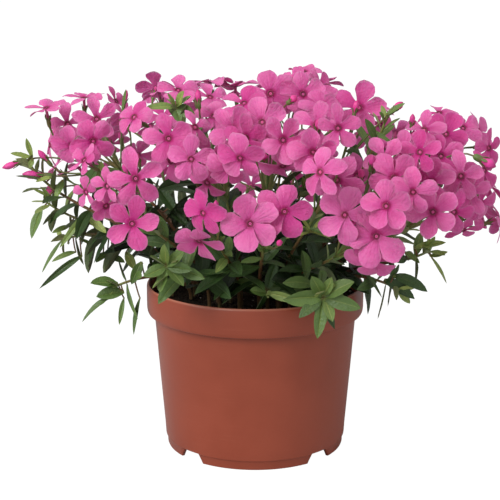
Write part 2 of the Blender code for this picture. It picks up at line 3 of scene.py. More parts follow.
import bpy
import numpy as np
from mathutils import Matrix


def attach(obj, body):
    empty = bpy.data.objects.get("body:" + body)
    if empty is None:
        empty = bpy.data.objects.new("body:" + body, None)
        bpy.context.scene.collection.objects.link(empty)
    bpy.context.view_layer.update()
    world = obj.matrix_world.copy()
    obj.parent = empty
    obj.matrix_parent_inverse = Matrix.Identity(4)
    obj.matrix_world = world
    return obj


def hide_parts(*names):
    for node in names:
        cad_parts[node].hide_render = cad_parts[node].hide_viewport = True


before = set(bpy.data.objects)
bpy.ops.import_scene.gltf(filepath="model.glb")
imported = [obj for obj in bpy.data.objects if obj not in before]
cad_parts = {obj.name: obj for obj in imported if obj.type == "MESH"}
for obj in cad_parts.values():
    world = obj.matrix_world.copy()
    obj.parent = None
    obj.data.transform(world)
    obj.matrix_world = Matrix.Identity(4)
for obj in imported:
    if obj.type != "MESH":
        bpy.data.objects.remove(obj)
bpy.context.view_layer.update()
print("frame loaded")

# Lengths are in millimetres until they go into a mesh. The front of the plant is towards -Y.
mm = 0.001
draw = np.random.default_rng(11)

# How the crown is laid out: the place that it is seen from, its rounded form, and its heads and shoots.
eyePlace = (-2.84, -723.0, 275.8)
eyePitch = 12.95
focalPixels = 1345.0
halfPicture = 250.0
crownCentre = (0.4, 0.8, 126.5)
crownHalf = (134.0, 112.0, 76.0)
heart = (0.0, 0.0, 70.0)
# Flowers of each head as the picture shows them: across and down in pixels, turn to the right and up in
# degrees, roll, radius. Leaf shoots: the tip across and down in pixels, and how far in front of the axis.
headsSeen = [
    [(67.5, 124, -14, 12, 8, 12.4), (96.5, 119, 4, 12, 80, 12.6), (93, 141, 0, -12, 30, 12),
     (46, 108, -35, 68, 0, 12), (84, 98, -8, 76, 20, 12.6), (50, 145, -68, 0, 40, 12),
     (116, 101, 62, 30, 0, 9), (72, 146, -22, -26, 0, 11.5)],
    [(135.5, 178.5, 0, 0, 85, 15.2), (84, 160, -58, 28, 0, 9.5), (106, 206, 24, -30, 0, 9),
     (86, 192, -46, -14, 10, 9), (107, 186, -36, -8, 0, 9.5), (132, 223.6, 2, -4, 54, 13.4)],
    [(156, 88, 168, 24, 0, 12), (178, 90, 4, 52, 0, 12), (134, 117, -44, 24, 0, 10.5),
     (163, 117, -12, 34, 30, 12.6), (168.5, 138.5, 0, 8, 12, 13), (195, 127, 28, 24, 0, 10.5),
     (210, 97, 18, 52, 0, 11.4)],
    [(191, 159, -4, -8, 0, 12.2), (210, 157, 12, -4, 20, 12.2), (171, 161, -18, -14, 40, 12),
     (233, 129.5, 10, 14, 40, 13), (246, 138, 24, 2, 0, 12), (229, 168, 10, -30, 0, 11.4),
     (214, 116, -6, 38, 0, 12)],
    [(207, 183, -24, -36, 0, 12), (203, 213, -40, -16, 0, 12.4), (199, 241, -14, -58, 54, 13)],
    [(270.5, 93.5, -2, 8, 90, 13), (244, 103, -14, 48, 0, 12.4), (303, 94, 14, 16, 0, 12.6),
     (304, 72, -24, 66, 0, 10.5), (320, 84, 58, 34, 0, 10.5), (291, 80, -48, 48, 0, 10.5),
     (322, 106, 26, 38, 0, 12)],
    [(262, 122, -6, 18, 14, 13), (283, 140, 10, 2, 40, 12), (258, 150, -2, -18, 0, 12),
     (283, 166, 8, -58, 20, 12.6), (240, 158, -16, -28, 0, 12), (302, 152, 20, -14, 0, 12)],
    [(316, 126, -6, 12, 60, 14), (338, 128, 22, 12, 0, 12.4), (313, 152, -4, -24, 0, 12)],
    [(337, 180, -4, -8, 34, 13.6), (320, 172, -32, -2, 0, 12.4), (357, 176, 30, -6, 0, 12)],
    [(359, 107.5, 0, 8, 58, 14.4), (380, 124, 34, 22, 0, 10)],
    [(394, 178, 0, -4, 30, 13.4), (404, 152, 12, 10, 0, 12.2), (384, 158, -14, -2, 30, 12),
     (413, 192, -6, -16, 0, 12)],
    [(439, 113, -4, 58, 18, 12), (424, 130, -18, 20, 0, 12.4), (446, 134, 2, 20, 40, 13),
     (463, 128, 22, 38, 0, 12), (478, 131, 62, 22, 0, 12), (441, 156, 0, 2, 10, 13),
     (489, 148, 52, -4, 0, 11.5), (420, 152, -20, 2, 0, 12)],
    [(461, 176, 10, 0, 70, 13.6), (433, 212, -4, -4, 20, 13.6), (454, 212, 6, -8, 50, 11.6),
     (480, 204, 48, -22, 0, 12), (463, 230, 18, -62, 0, 11), (432, 182, -12, 2, 0, 12.6),
     (470, 194, 22, -12, 0, 12), (484, 170, 42, 8, 0, 12)],
    [(250, 223.6, 0, -4, 92, 14.2), (284.5, 211.5, 6, 0, 60, 13.8)],
    [(344.7, 215, 0, -4, 52, 14.2), (376.3, 236.3, 2, -4, 20, 15.6), (372.2, 262, -4, -46, 90, 14),
     (386, 206, 12, 12, 0, 12.4)],
]
leafShootsSeen = [
    (27, 160, 10), (44, 200, -16), (62, 240, -30), (112, 288, 22), (172, 264, 72), (328, 296, 74),
    (268, 297, 62), (400, 290, 36), (430, 250, 26), (176, 106, 34), (387, 116, 40),
]
# Round the back, each with its direction in degrees: a shoot tip's distance from the axis and height, or the
# angle at which a head is seen above level from the crown's middle.
rearLeafShoots = [(38, 96, 116), (92, 88, 110), (146, 98, 118)]
rearHeadPlaces = [(8, 13), (44, 16), (84, 12), (124, 17), (148, 30), (58, 58), (122, 60)]
# Leaf pairs that the flowers keep clear of: distance back from the tip, length.
pairsOnTallShoots = [(1.5, 13), (7, 19), (14.5, 23)]
pairsOnLeafShoots = [(1.5, 12), (7, 19), (14.5, 24), (27, 28), (43, 28), (62, 26), (84, 24)]
flowerTube = 11.0
stemRadius = 1.1
headDepth = 34.0
# What is tried in turn until a place is free, the clearances wanted, and the gap left between solids.
slideSteps = [0, 1.5, -1.5, 3, -3, 5, -5, 7, -7, 9, 11, 13, 15, 18, -9, 21, 24, 28, -12, 32, 36, -15,
              40, 45, -19]
baseTries = [(depth, aside) for depth in (0, -4, 4, -8, 8) for aside in (0, 5, -5, 10, -10)]
hubClear = 5.0
petalClear = 2.5
stalkClear = 1.4
dropBelow = -2.0
footTries = [(swing, pull, start, end) for start, end in ((0.42, 0.36), (0.55, 0.3), (0.3, 0.5), (0.7, 0.5))
             for pull in (1.0, 0.82, 0.62, 1.1, 0.4)
             for swing in (0, 7, -7, 14, -14, 22, -22, 32, -32, 45, -45)]
leafTries = [(shorter, lean, swing) for shorter in (1.0, 0.8, 0.6) for lean in (0, -14, 14, 26)
             for swing in (0, 18, -18)]
leafClear = 1.1
stemHalf = 0.85
restGap = 0.3
soilTop = 84.0


def unit(v):
    # The same direction with a length of one.
    return v / max(np.linalg.norm(v), 1e-9)


def sightRay(across, down):
    # Direction from the eye through a place in the picture.
    pitch = math.radians(eyePitch)
    ahead = np.array([0.0, math.cos(pitch), -math.sin(pitch)])
    up = np.array([0.0, math.sin(pitch), math.cos(pitch)])
    right = np.array([1.0, 0.0, 0.0])
    ray = ahead + right * (across - halfPicture) / focalPixels + up * (halfPicture - down) / focalPixels
    return unit(ray)


def crownPoint(ray):
    # Where a sight line meets the front of the crown, or passes it nearest.
    origin = (np.array(eyePlace) - crownCentre) / crownHalf
    scaled = ray / crownHalf
    a, b, c = scaled @ scaled, origin @ scaled, origin @ origin - 1.0
    along = (-b - math.sqrt(max(b * b - a * c, 0.0))) / a
    return np.array(eyePlace) + ray * along


def turned(v, axis, degrees):
    # v turned about a unit axis (Rodrigues' formula).
    t = math.radians(degrees)
    return v * math.cos(t) + np.cross(axis, v) * math.sin(t) + axis * (axis @ v) * (1 - math.cos(t))


def faceFrame(face, roll):
    # Two directions across a flower's face, rolled about it; the first is the first petal's.
    level = np.array([0.0, 0.0, 1.0]) if abs(face[2]) < 0.95 else np.array([0.0, 1.0, 0.0])
    side = unit(np.cross(level, face))
    first = turned(np.cross(face, side), face, roll)
    return first, np.cross(face, first)


def bezier(p0, p1, p2, p3, n):
    # n + 1 points of a cubic curve.
    t = np.linspace(0, 1, n + 1)[:, None]
    return p0 * (1 - t) ** 3 + 3 * p1 * t * (1 - t) ** 2 + 3 * p2 * t * t * (1 - t) + p3 * t ** 3


class Room:
    # The places already taken by plant pieces, as loose points with a head's or shoot's number.

    def __init__(self):
        self.points = np.zeros((0, 3))
        self.owners = np.zeros(0, int)
        self.radii = np.zeros(0)

    def gap(self, points, radius, skip=None):
        # Least free distance from these points to the taken ones of other owners.
        low, high = points.min(0) - 8, points.max(0) + 8
        near = ((self.points > low) & (self.points < high)).all(1)
        if skip is not None:
            near &= ~np.isin(self.owners, skip)
        if not near.any():
            return 8.0
        away = np.linalg.norm(points[:, None] - self.points[near][None], axis=2)
        return float((away - self.radii[near][None] - radius).min())

    def take(self, points, radius, owner):
        self.points = np.vstack([self.points, points])
        self.owners = np.append(self.owners, np.full(len(points), owner))
        self.radii = np.append(self.radii, np.full(len(points), radius))


petalSamples = [(0.0, 0.0)]
for petal in range(5):
    for away, swing in ((0.36, 0), (0.68, -17), (0.68, 0), (0.68, 17), (1.0, -18), (1.0, 0), (1.0, 18)):
        angle = math.radians(72 * petal + swing)
        petalSamples.append((away * math.cos(angle), away * math.sin(angle)))
petalSamples = np.array(petalSamples)


def flowerSamples(centre, face, roll, radius):
    # Points all over a flower's petals.
    first, second = faceFrame(face, roll)
    return centre + radius * (petalSamples[:, :1] * first + petalSamples[:, 1:] * second)


def pedicelPath(base, centre, face, n):
    # The stalk from the head's base to the back of the flower's tube.
    foot = centre - face * flowerTube
    reach = np.linalg.norm(foot - base)
    return bezier(base, base + unit(centre - base) * 0.3 * reach, foot - face * 0.34 * reach, foot, n)


def rearHeads():
    # The flowers on the far side of the crown, which the picture doesn't show, in rosettes of seven.
    heads = []
    for number, (azimuth, rise) in enumerate(rearHeadPlaces):
        flowers = []
        for k in range(7):
            swing = math.radians(60 * k + 31 * number)
            a = math.radians(azimuth + (13 if k else 0) * math.cos(swing) / math.cos(math.radians(rise)))
            e = math.radians(rise + (15 if k else 0) * math.sin(swing))
            out = np.array([math.cos(a) * math.cos(e), math.sin(a) * math.cos(e), math.sin(e)])
            place = np.array(crownCentre) + out * crownHalf
            face = unit(out / crownHalf * 100 + np.array([0, 0, 0.25]))
            face = turned(face, np.array([0.0, 0.0, 1.0]), 17 * math.cos(5 * k + number))
            flowers.append((place, face, 40 * k + 9 * number, 12.2 + 0.4 * (k % 3)))
        heads.append(flowers)
    return heads


def layFlowers(room):
    # Every flower: the head's number, centre, face, roll and radius, each slid along its own sight
    # line, or outwards at the rear, until it is clear of those before it.
    wanted = []
    for number, head in enumerate(headsSeen):
        for across, down, right, rise, roll, radius in head:
            ray = sightRay(across, down)
            face = turned(-ray, np.array([0.0, 0.0, 1.0]), right)
            side = unit(np.cross(face, np.array([0.0, 0.0, 1.0])))
            face = turned(face, side, rise)
            wanted.append((number, crownPoint(ray), face, roll, radius, ray, face @ -ray * radius))
    for number, head in enumerate(rearHeads(), len(headsSeen)):
        for place, face, roll, radius in head:
            wanted.append((number, place, face, roll, radius, -face, 0.0))
    bases = {}
    for number in range(len(headsSeen) + len(rearHeadPlaces)):
        middle = np.mean([w[1] for w in wanted if w[0] == number], axis=0)
        inward = unit(np.array(heart) - middle)
        across = unit(np.cross(inward, [0.0, 0.0, 1.0]))
        best = None
        for depth, aside in baseTries:
            base = middle + inward * (headDepth + depth) + across * aside
            hub = base - inward * np.linspace(-4, 6, 6)[:, None]
            free = room.gap(hub, 1.3) - hubClear
            if best is None or free > best[0]:
                best = (free, base, hub)
            if free >= 0:
                break
        if best[0] < 0:
            print("tight base", number, round(best[0], 2))
        bases[number] = best[1]
        room.take(best[2], 1.3, number + 500)
    flowers = []
    for number, place, face, roll, radius, slide, _ in sorted(wanted, key=lambda w: -w[6]):
        best = None
        for step in slideSteps:
            centre = place + slide * step
            petals = flowerSamples(centre, face, roll, radius)
            path = pedicelPath(bases[number], centre, face, 12)
            tube = centre - face * np.linspace(2.5, flowerTube, 5)[:, None]
            stalk = np.vstack([tube, path[8:], path[3:8]])
            free = min(room.gap(petals, 0.0) - petalClear, room.gap(stalk[:10], 0.9) - stalkClear,
                       room.gap(stalk[10:], 0.9, skip=[number + 500]) - stalkClear)
            if best is None or free > best[0]:
                best = (free, centre, petals, stalk)
            if free >= 0:
                break
        if best[0] < 0 and number >= len(headsSeen):
            continue
        if best[0] < 0:
            print("tight flower", number, np.round(place, 1), round(best[0], 2))
            if best[0] < dropBelow:
                continue
        room.take(best[2], 0.0, number)
        room.take(best[3], 0.9, number + 500)
        flowers.append((number, best[1], face, roll, radius))
    return flowers, bases


def seenPoint(across, down, forward):
    # The point on a sight line that lies this far in front of the pot's axis.
    ray = sightRay(across, down)
    return np.array(eyePlace) + ray * ((-forward - eyePlace[1]) / ray[1])


def ringFrames(path, stations):
    # Centre, direction and two cross directions at distances along a curve, without twist.
    steps = np.linalg.norm(np.diff(path, axis=0), axis=1)
    along = np.append(0.0, np.cumsum(steps))
    frames, across = [], None
    for station in stations:
        at = np.clip(station, 0, along[-1])
        k = min(np.searchsorted(along, at, side="right") - 1, len(steps) - 1)
        tangent = unit(path[k + 1] - path[k])
        centre = path[k] + tangent * (at - along[k])
        if across is None:
            across = np.cross(tangent, [0.6, 0.8, 0.1])
        across = unit(across - tangent * (across @ tangent))
        frames.append((centre, tangent, across, np.cross(tangent, across)))
    return frames


def leafPoints(leaf, s):
    # Middle line of a leaf at fractions of its length, and its upper side's direction there.
    base, out, up, length, _, droop = leaf
    s = np.atleast_1d(s)[:, None]
    down = unit(np.array([0.0, 0.0, -1.0]) - up)
    middle = base + out * length * s + down * length * droop * s ** 2
    lead = out + down * 2 * droop * s
    lead /= np.linalg.norm(lead, axis=1)[:, None]
    top = up - lead * (lead @ up)[:, None]
    return middle, lead, top / np.linalg.norm(top, axis=1)[:, None]


def leafSamples(leaf):
    # Points along the middle and both edges of a leaf.
    s = np.array([0.12, 0.2, 0.28, 0.36, 0.44, 0.52, 0.6, 0.68, 0.76, 0.84, 0.92, 1.0])
    middle, lead, top = leafPoints(leaf, s)
    half = leaf[4] * np.interp(s, [0, 0.32, 0.66, 1.0], [0.3, 0.95, 0.9, 0.0])[:, None]
    side = np.cross(top, lead)
    return np.vstack([middle + side * half * across for across in (-1, -0.5, 0, 0.5, 1)])


def clearOfPot(points, radius):
    # Whether points of a plant piece keep off the pot's wall and rim, and off the soil.
    away, height = np.hypot(points[:, 0], points[:, 1]), points[:, 2]
    inWall = (height < 93.0 + radius) & (away > 57.0 - radius) & (away < 61.0 + radius)
    inSoil = (height < soilTop + 1.0 + radius) & (away < 58.5)
    return not (inWall | inSoil).any()


def leafShootPlans():
    # The shoots that carry leaves only: number, tip, direction at the tip and leaf pairs.
    tips = [seenPoint(*seen) for seen in leafShootsSeen]
    for azimuth, away, height in rearLeafShoots:
        a = math.radians(azimuth)
        tips.append(np.array([math.cos(a) * away, math.sin(a) * away, height]))
    plans = []
    for k, tip in enumerate(tips):
        lift = -0.7 if tip[2] < 112 else 0.25 if tip[2] < 150 else 0.9
        pairs = pairsOnTallShoots if tip[2] > 165 else pairsOnLeafShoots
        plans.append((100 + k, tip, unit(unit(tip - np.array(heart)) + [0, 0, lift]), pairs))
    return plans


def flowerShootPlans(bases, flowers):
    # The shoots under the flower heads.
    plans = []
    for number in sorted(bases):
        own = [f[1] for f in flowers if f[0] == number]
        toward = unit(np.mean(own, axis=0) - bases[number])
        plans.append((number, bases[number] - toward * restGap, toward, ()))
    return plans


def layShoots(room, plans):
    # Shoots from the soil to their tips: number, path, length and leaf pairs.
    shoots = []
    for number, tip, toward, pairs in plans:
        best = None
        azimuth = math.atan2(tip[1], tip[0])
        away = min(46.0, 6.0 + 0.38 * math.hypot(tip[0], tip[1]))
        for swing, pull, start, end in footTries:
            a = azimuth + math.radians(swing)
            foot = np.array([math.cos(a) * away * pull, math.sin(a) * away * pull, soilTop + restGap])
            reach = np.linalg.norm(tip - foot)
            path = bezier(foot, foot + np.array([0, 0, start * reach]), tip - toward * end * reach, tip, 80)
            free = min(room.gap(path[:-1], stemRadius, skip=[number, number + 500]),
                       room.gap(path[:70], stemRadius)) - stalkClear
            if not clearOfPot(path[6:], stemRadius + 0.4):
                free -= 9.0
            if best is None or free > best[0]:
                best = (free, path)
            if free >= 0:
                break
        if best[0] < 0:
            print("tight stem", number, np.round(tip, 1), round(best[0], 2))
        path = best[1]
        room.take(path, stemRadius, 1000 + number)
        length = np.linalg.norm(np.diff(path, axis=0), axis=1).sum()
        shoots.append({"number": number, "path": path, "length": length, "pairs": pairs})
    return shoots


def layLeaves(room, shoot):
    # The room taken by pairs of leaves up a shoot, each pair at right angles to the last. A leaf that
    # would touch something is turned or shortened, and is left out where none of that helps.
    levels = [(shoot["length"] - back, size) for back, size in shoot["pairs"] if shoot["length"] - back > 9]
    levels.sort()
    number = shoot["number"]
    frames = ringFrames(shoot["path"], [station for station, _ in levels])
    for k, ((centre, tangent, across, over), (station, size)) in enumerate(zip(frames, levels)):
        back = shoot["length"] - station
        spread = 38 + 32 * min(back / 40.0, 1.0)
        faces = [over, -across, -over, across]
        for f in ((0, 2) if k % 2 else (1, 3)):
            for shorter, lean, swing in leafTries:
                out = turned(tangent, np.cross(tangent, faces[f]), spread + lean)
                out = turned(out, tangent, swing)
                up = unit(np.cross(np.cross(out, tangent), out))
                droop = 0.16 + 0.14 * ((number * 7 + k * 3 + f) % 5) / 4
                leaf = (centre + faces[f] * stemHalf, out, up, size * shorter, 0.115 * size + 0.3, droop)
                points = leafSamples(leaf)
                if clearOfPot(points, 0.8) and room.gap(points, 0.3, skip=[1000 + number]) > leafClear:
                    room.take(points, 0.3, 2000 + number)
                    break


# Meshes from whole arrays. Points are in millimetres, faces are rows of four corners, where a last
# corner of -1 means a triangle.
def makeMesh(name, points, faces, slots=None, uv=None, tint=None, sharp=50):
    mesh = bpy.data.meshes.new(name)
    points = np.asarray(points, float).reshape(-1, 3) * mm
    mesh.vertices.add(len(points))
    mesh.vertices.foreach_set("co", points.ravel())
    used = faces >= 0
    loops = faces[used]
    totals = used.sum(1)
    mesh.loops.add(len(loops))
    mesh.loops.foreach_set("vertex_index", loops.astype(np.int32))
    mesh.polygons.add(len(faces))
    mesh.polygons.foreach_set("loop_start", np.append(0, np.cumsum(totals)[:-1]).astype(np.int32))
    if slots is not None:
        mesh.polygons.foreach_set("material_index", np.asarray(slots, np.int32))
    if uv is not None:
        layer = mesh.uv_layers.new(name="surface")
        layer.data.foreach_set("uv", np.asarray(uv, float).reshape(-1, 2)[loops].ravel())
    if tint is not None:
        values = mesh.attributes.new("tint", "FLOAT", "POINT")
        values.data.foreach_set("value", np.asarray(tint, float).ravel())
    mesh.update(calc_edges=True)
    mesh.validate()
    mesh.shade_smooth()
    if sharp:
        mesh.set_sharp_from_angle(angle=math.radians(sharp))
    return mesh


def makePiece(name, mesh, materials, replaced):
    for material in materials:
        mesh.materials.append(material)
    piece = bpy.data.objects.new(name, mesh)
    bpy.context.scene.collection.objects.link(piece)
    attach(piece, "root")
    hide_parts(*replaced)


# Several arrays of points and faces as one mesh.
class Gathered:
    def __init__(self):
        self.parts = []
        self.count = 0

    def add(self, points, faces, slots, uv, tint):
        points = points.reshape(-1, 3)
        faces = np.where(faces >= 0, faces + self.count, -1)
        slots = np.broadcast_to(slots, len(faces))
        tint = np.broadcast_to(tint, len(points))
        self.parts.append((points, faces, slots, uv.reshape(-1, 2), tint))
        self.count += len(points)

    def mesh(self, name):
        points, faces, slots, uv, tint = [np.concatenate([p[k] for p in self.parts]) for k in range(5)]
        return makeMesh(name, points, faces, slots, uv, tint)


# Rows of vectors with a length of one.
def units(v):
    return v / np.maximum(np.linalg.norm(v, axis=-1, keepdims=True), 1e-9)


# The faces of a closed blade: a grid on top, and one below that shares its border.
def bladeFaces(rows, across):
    top = np.arange((rows + 1) * (across + 1)).reshape(rows + 1, across + 1)
    under = top.copy()
    under[1:-1, 1:-1] = top.size + np.arange((rows - 1) * (across - 1)).reshape(rows - 1, across - 1)

    def quads(g):
        return np.stack([g[:-1, :-1], g[:-1, 1:], g[1:, 1:], g[1:, :-1]], -1).reshape(-1, 4)
    faces = np.concatenate([quads(top), quads(under)[:, ::-1]])
    return faces, np.repeat([0, 1], rows * across)


# Blades from grids of points, count x rows x across: below each lies a second sheet, thick away.
def addBlades(gathered, grid, thick, tint, slots=(0, 1)):
    count, rows, across = grid.shape[0], grid.shape[1] - 1, grid.shape[2] - 1
    normals = units(np.cross(np.gradient(grid, axis=2), np.gradient(grid, axis=1)))
    below = (grid - normals * thick)[:, 1:-1, 1:-1].reshape(count, -1, 3)
    points = np.concatenate([grid.reshape(count, -1, 3), below], 1)
    face, side = bladeFaces(rows, across)
    faces = face[None] + (np.arange(count) * points.shape[1])[:, None, None]
    u, v = np.meshgrid(np.linspace(0, 1, across + 1), np.linspace(0, 1, rows + 1))
    flat = np.stack([u, v], -1)
    uv = np.concatenate([flat.reshape(-1, 2), flat[1:-1, 1:-1].reshape(-1, 2)])
    gathered.add(points, faces.reshape(-1, 4), np.tile(np.asarray(slots)[side], count),
                 np.tile(uv, (count, 1)), np.repeat(tint, points.shape[1]))


# Tubes along paths, count x stations: a circle of the given radius round each station, at right angles
# to the path, closed at both ends by a point.
def addTubes(gathered, paths, radii, sides, tint, slot=0, lobes=0, depth=0.0, turn=0.0):
    count, n = paths.shape[0], paths.shape[1]
    lead = units(np.gradient(paths, axis=1))
    chord = units(paths[:, -1] - paths[:, 0])
    other = np.where(np.abs(chord[:, 2:]) < 0.8, [[0.0, 0.0, 1.0]], [[1.0, 0.3, 0.0]])
    side = units(np.cross(chord, other))[:, None]
    across = units(side - lead * (side * lead).sum(-1, keepdims=True))
    over = np.cross(lead, across)
    angle = 2 * np.pi * np.arange(sides) / sides
    share = np.linspace(0, 1, n)[:, None]
    ripple = 1 + depth * np.cos(lobes * angle[None] + turn * share)
    around = across[:, :, None] * np.cos(angle)[:, None] + over[:, :, None] * np.sin(angle)[:, None]
    wall = paths[:, :, None] + around * (radii[:, :, None] * ripple[None])[..., None]
    points = np.concatenate([wall.reshape(count, -1, 3), paths[:, :1], paths[:, -1:]], 1)
    ring = np.arange(n * sides).reshape(n, sides)
    after = np.roll(ring, -1, axis=1)
    quads = np.stack([ring[:-1], after[:-1], after[1:], ring[1:]], -1).reshape(-1, 4)
    none = np.full(sides, -1)
    foot = np.stack([after[0], ring[0], none + n * sides + 1, none], -1)
    tip = np.stack([ring[-1], after[-1], none + n * sides + 2, none], -1)
    face = np.concatenate([quads, foot, tip])
    shift = (np.arange(count) * points.shape[1])[:, None, None]
    faces = np.where(face[None] >= 0, face[None] + shift, -1).reshape(-1, 4)
    u = np.broadcast_to(np.arange(sides) / sides, (n, sides))
    v = np.broadcast_to(share, (n, sides))
    uv = np.concatenate([np.stack([u, v], -1).reshape(-1, 2), [[0.5, 0.0], [0.5, 1.0]]])
    gathered.add(points, faces, slot, np.tile(uv, (count, 1)), np.repeat(tint, points.shape[1]))


# Leaves: h(s) is half the width along the blade. The middle line is base + out s L + down s^2 droop L, the
# cross-section is a V of the fold with edges that curl, and the blade turns by its twist towards the tip.
leafLook = {"rows": [0, 0.07, 0.17, 0.3, 0.45, 0.6, 0.75, 0.89, 1.0], "across": 4, "thick": 0.32,
            "outline": ([0, 0.08, 0.2, 0.35, 0.5, 0.66, 0.82, 0.93, 1.0],
                        [0.3, 0.44, 0.76, 0.96, 1.0, 0.92, 0.68, 0.36, 0.03])}


# Whether leaves keep off the pot: no point of the middle line lies in the wall, in the soil, or passes
# from inside the rim to outside it below the rim's edge.
def offPot(base, out, up, length, droop):
    s = np.linspace(0.1, 1.0, 12)[None, :, None]
    down = units(np.array([0.0, 0.0, -1.0]) - up * 0.8)
    line = base[:, None] + out[:, None] * length[:, None, None] * s
    line = line + down[:, None] * (length * droop)[:, None, None] * s ** 2
    away, height = np.hypot(line[..., 0], line[..., 1]), line[..., 2]
    wall = (height < 94.5) & (away > 53.5) & (away < 64.0)
    below = (height < 85.0) & (away < 60.0)
    return ~(wall | below).any(1)


def addLeaves(gathered, base, out, up, length, half, droop, fold, twist, bow, tint, slots=(0, 1)):
    free = offPot(base, out, up, length, droop)
    base, out, up, length, half, droop, fold, twist, bow, tint = [
        np.asarray(a)[free] for a in (base, out, up, length, half, droop, fold, twist, bow, tint)]
    s = np.array(leafLook["rows"])[None, :, None, None]
    t = np.linspace(-1, 1, leafLook["across"] + 1)[None, None, :, None]
    col = lambda a: np.asarray(a, float)[:, None, None, None]
    vec = lambda a: a[:, None, None, :]
    down = units(np.array([0.0, 0.0, -1.0]) - up * 0.8)
    side = units(np.cross(out, up))
    middle = vec(base) + vec(out) * col(length) * s + vec(down) * col(length * droop) * s ** 2
    middle = middle + vec(side) * col(length * bow) * s ** 2
    lead = units(vec(out) + vec(down) * col(2 * droop) * s + vec(side) * col(2 * bow) * s)
    top = units(vec(up) - lead * (vec(up) * lead).sum(-1, keepdims=True))
    over = np.cross(lead, top)
    angle = col(twist) * s
    over, top = over * np.cos(angle) + top * np.sin(angle), top * np.cos(angle) - over * np.sin(angle)
    h = np.interp(s[..., 0], *leafLook["outline"])[..., None] * col(half)
    lift = h * (col(fold) * np.abs(t) - 0.35 * col(fold) * t ** 2) - h * 0.08 * (np.abs(t) < 0.1)
    wave = 0.06 * h * np.sin(9 * s + 7 * col(tint)) * t
    addBlades(gathered, middle + over * h * t + top * (lift + wave), leafLook["thick"], tint, slots)


# Directions in a circle: n for each pair of axes, first cos(angle) + second sin(angle).
def fanned(axes, n, angle):
    first, second = np.repeat(axes[:, 0], n, 0), np.repeat(axes[:, 1], n, 0)
    return first * np.cos(angle)[:, None] + second * np.sin(angle)[:, None]


# A petal's grid. Its end is an arc of an ellipse, E(t) = (W sin(t q), c L + (1 - c) L cos(t q)), and the
# lines from its foot to that arc widen by f(s) = 0.5 s + 0.5 s^2. Its height is lift L s - reflex L s^2,
# with a cup across it, a lean that lays it over its neighbour, and a ripple.
petalLook = {"rows": [0, 0.14, 0.32, 0.52, 0.72, 0.88, 1.0], "across": 8, "thick": 0.2, "throat": 0.9,
             "arc": 104.0, "middle": 0.6, "foot": 0.3, "lift": (-0.04, 0.42), "reflex": (0.0, 0.5)}


def addPetals(gathered, flowers, spread):
    k = len(flowers)
    centre = np.array([f[1] for f in flowers])
    face = np.array([f[2] for f in flowers])
    axes = np.array([faceFrame(f[2], f[3]) for f in flowers])
    radius = np.array([f[4] for f in flowers])
    n = 5 * k
    lot = lambda low, high: draw.uniform(low, high, n)
    one = lambda low, high: np.repeat(draw.uniform(low, high, k), 5)
    col = lambda a: np.asarray(a, float)[:, None, None]
    vec = lambda a: a[:, None, None, :]
    angle = np.tile(np.radians(72.0) * np.arange(5), k) + lot(-0.1, 0.1)
    normal = np.repeat(face, 5, 0)
    out = fanned(axes, 5, angle)
    over = np.cross(out, normal)
    look = petalLook
    s = np.array(look["rows"])[None, :, None]
    t = np.linspace(-1, 1, look["across"] + 1)[None, None, :]
    size = np.repeat(radius, 5)
    length = col(size * lot(0.94, 1.06) - look["throat"])
    wide = col(size * np.repeat(spread, 5) * lot(0.92, 1.08))
    turn = np.radians(look["arc"]) * t
    widen = 0.5 * s + 0.5 * s ** 2
    x = wide * (look["foot"] * t * (1 - widen) + np.sin(turn) * widen)
    y = length * s * (look["middle"] + (1 - look["middle"]) * np.cos(turn))
    notch = col(lot(-0.07, 0.05)) * np.exp(-(t / 0.22) ** 2)
    y = y + length * s ** 4 * (notch + 0.018 * np.sin(8 * t + col(lot(0, 6))))
    r = y / length
    lift = col(one(*look["lift"]) + lot(-0.07, 0.07))
    reflex = col(one(*look["reflex"]) + lot(-0.08, 0.12))
    z = length * (lift * r - reflex * r ** 2)
    z = z + x ** 2 / wide * col(lot(-0.35, 0.4)) + x * col(one(-0.2, -0.07))
    z = z + length * col(lot(0.01, 0.08)) * np.sin(5.0 * r + 2.6 * t + col(lot(0, 6))) * r
    bend = col(lot(-0.5, 0.5)) * r ** 2
    z = z + x * np.sin(bend)
    x = x * np.cos(bend) + length * col(lot(-0.1, 0.1)) * r ** 2
    grid = vec(np.repeat(centre, 5, 0)) + vec(over) * x[..., None]
    grid = grid + vec(out) * (y + look["throat"])[..., None]
    grid = grid + vec(normal) * z[..., None]
    tint = np.clip(np.repeat(draw.normal(0.47, 0.28, k), 5) + draw.normal(0, 0.16, n), 0, 1)
    addBlades(gathered, grid, look["thick"], tint)


# The eye: rings about the face's middle, a low crimson lip round a throat that goes down the tube, and
# a light knob of anthers in it.
eyeLook = {"profile": [(1.9, 0.1), (1.5, 0.38), (1.05, 0.3), (0.75, -0.1), (0.62, -0.8), (0.0, -0.9)],
           "knob": [(0.34, -0.5), (0.3, -0.12), (0.16, 0.0), (0.0, 0.02)], "sides": 10}


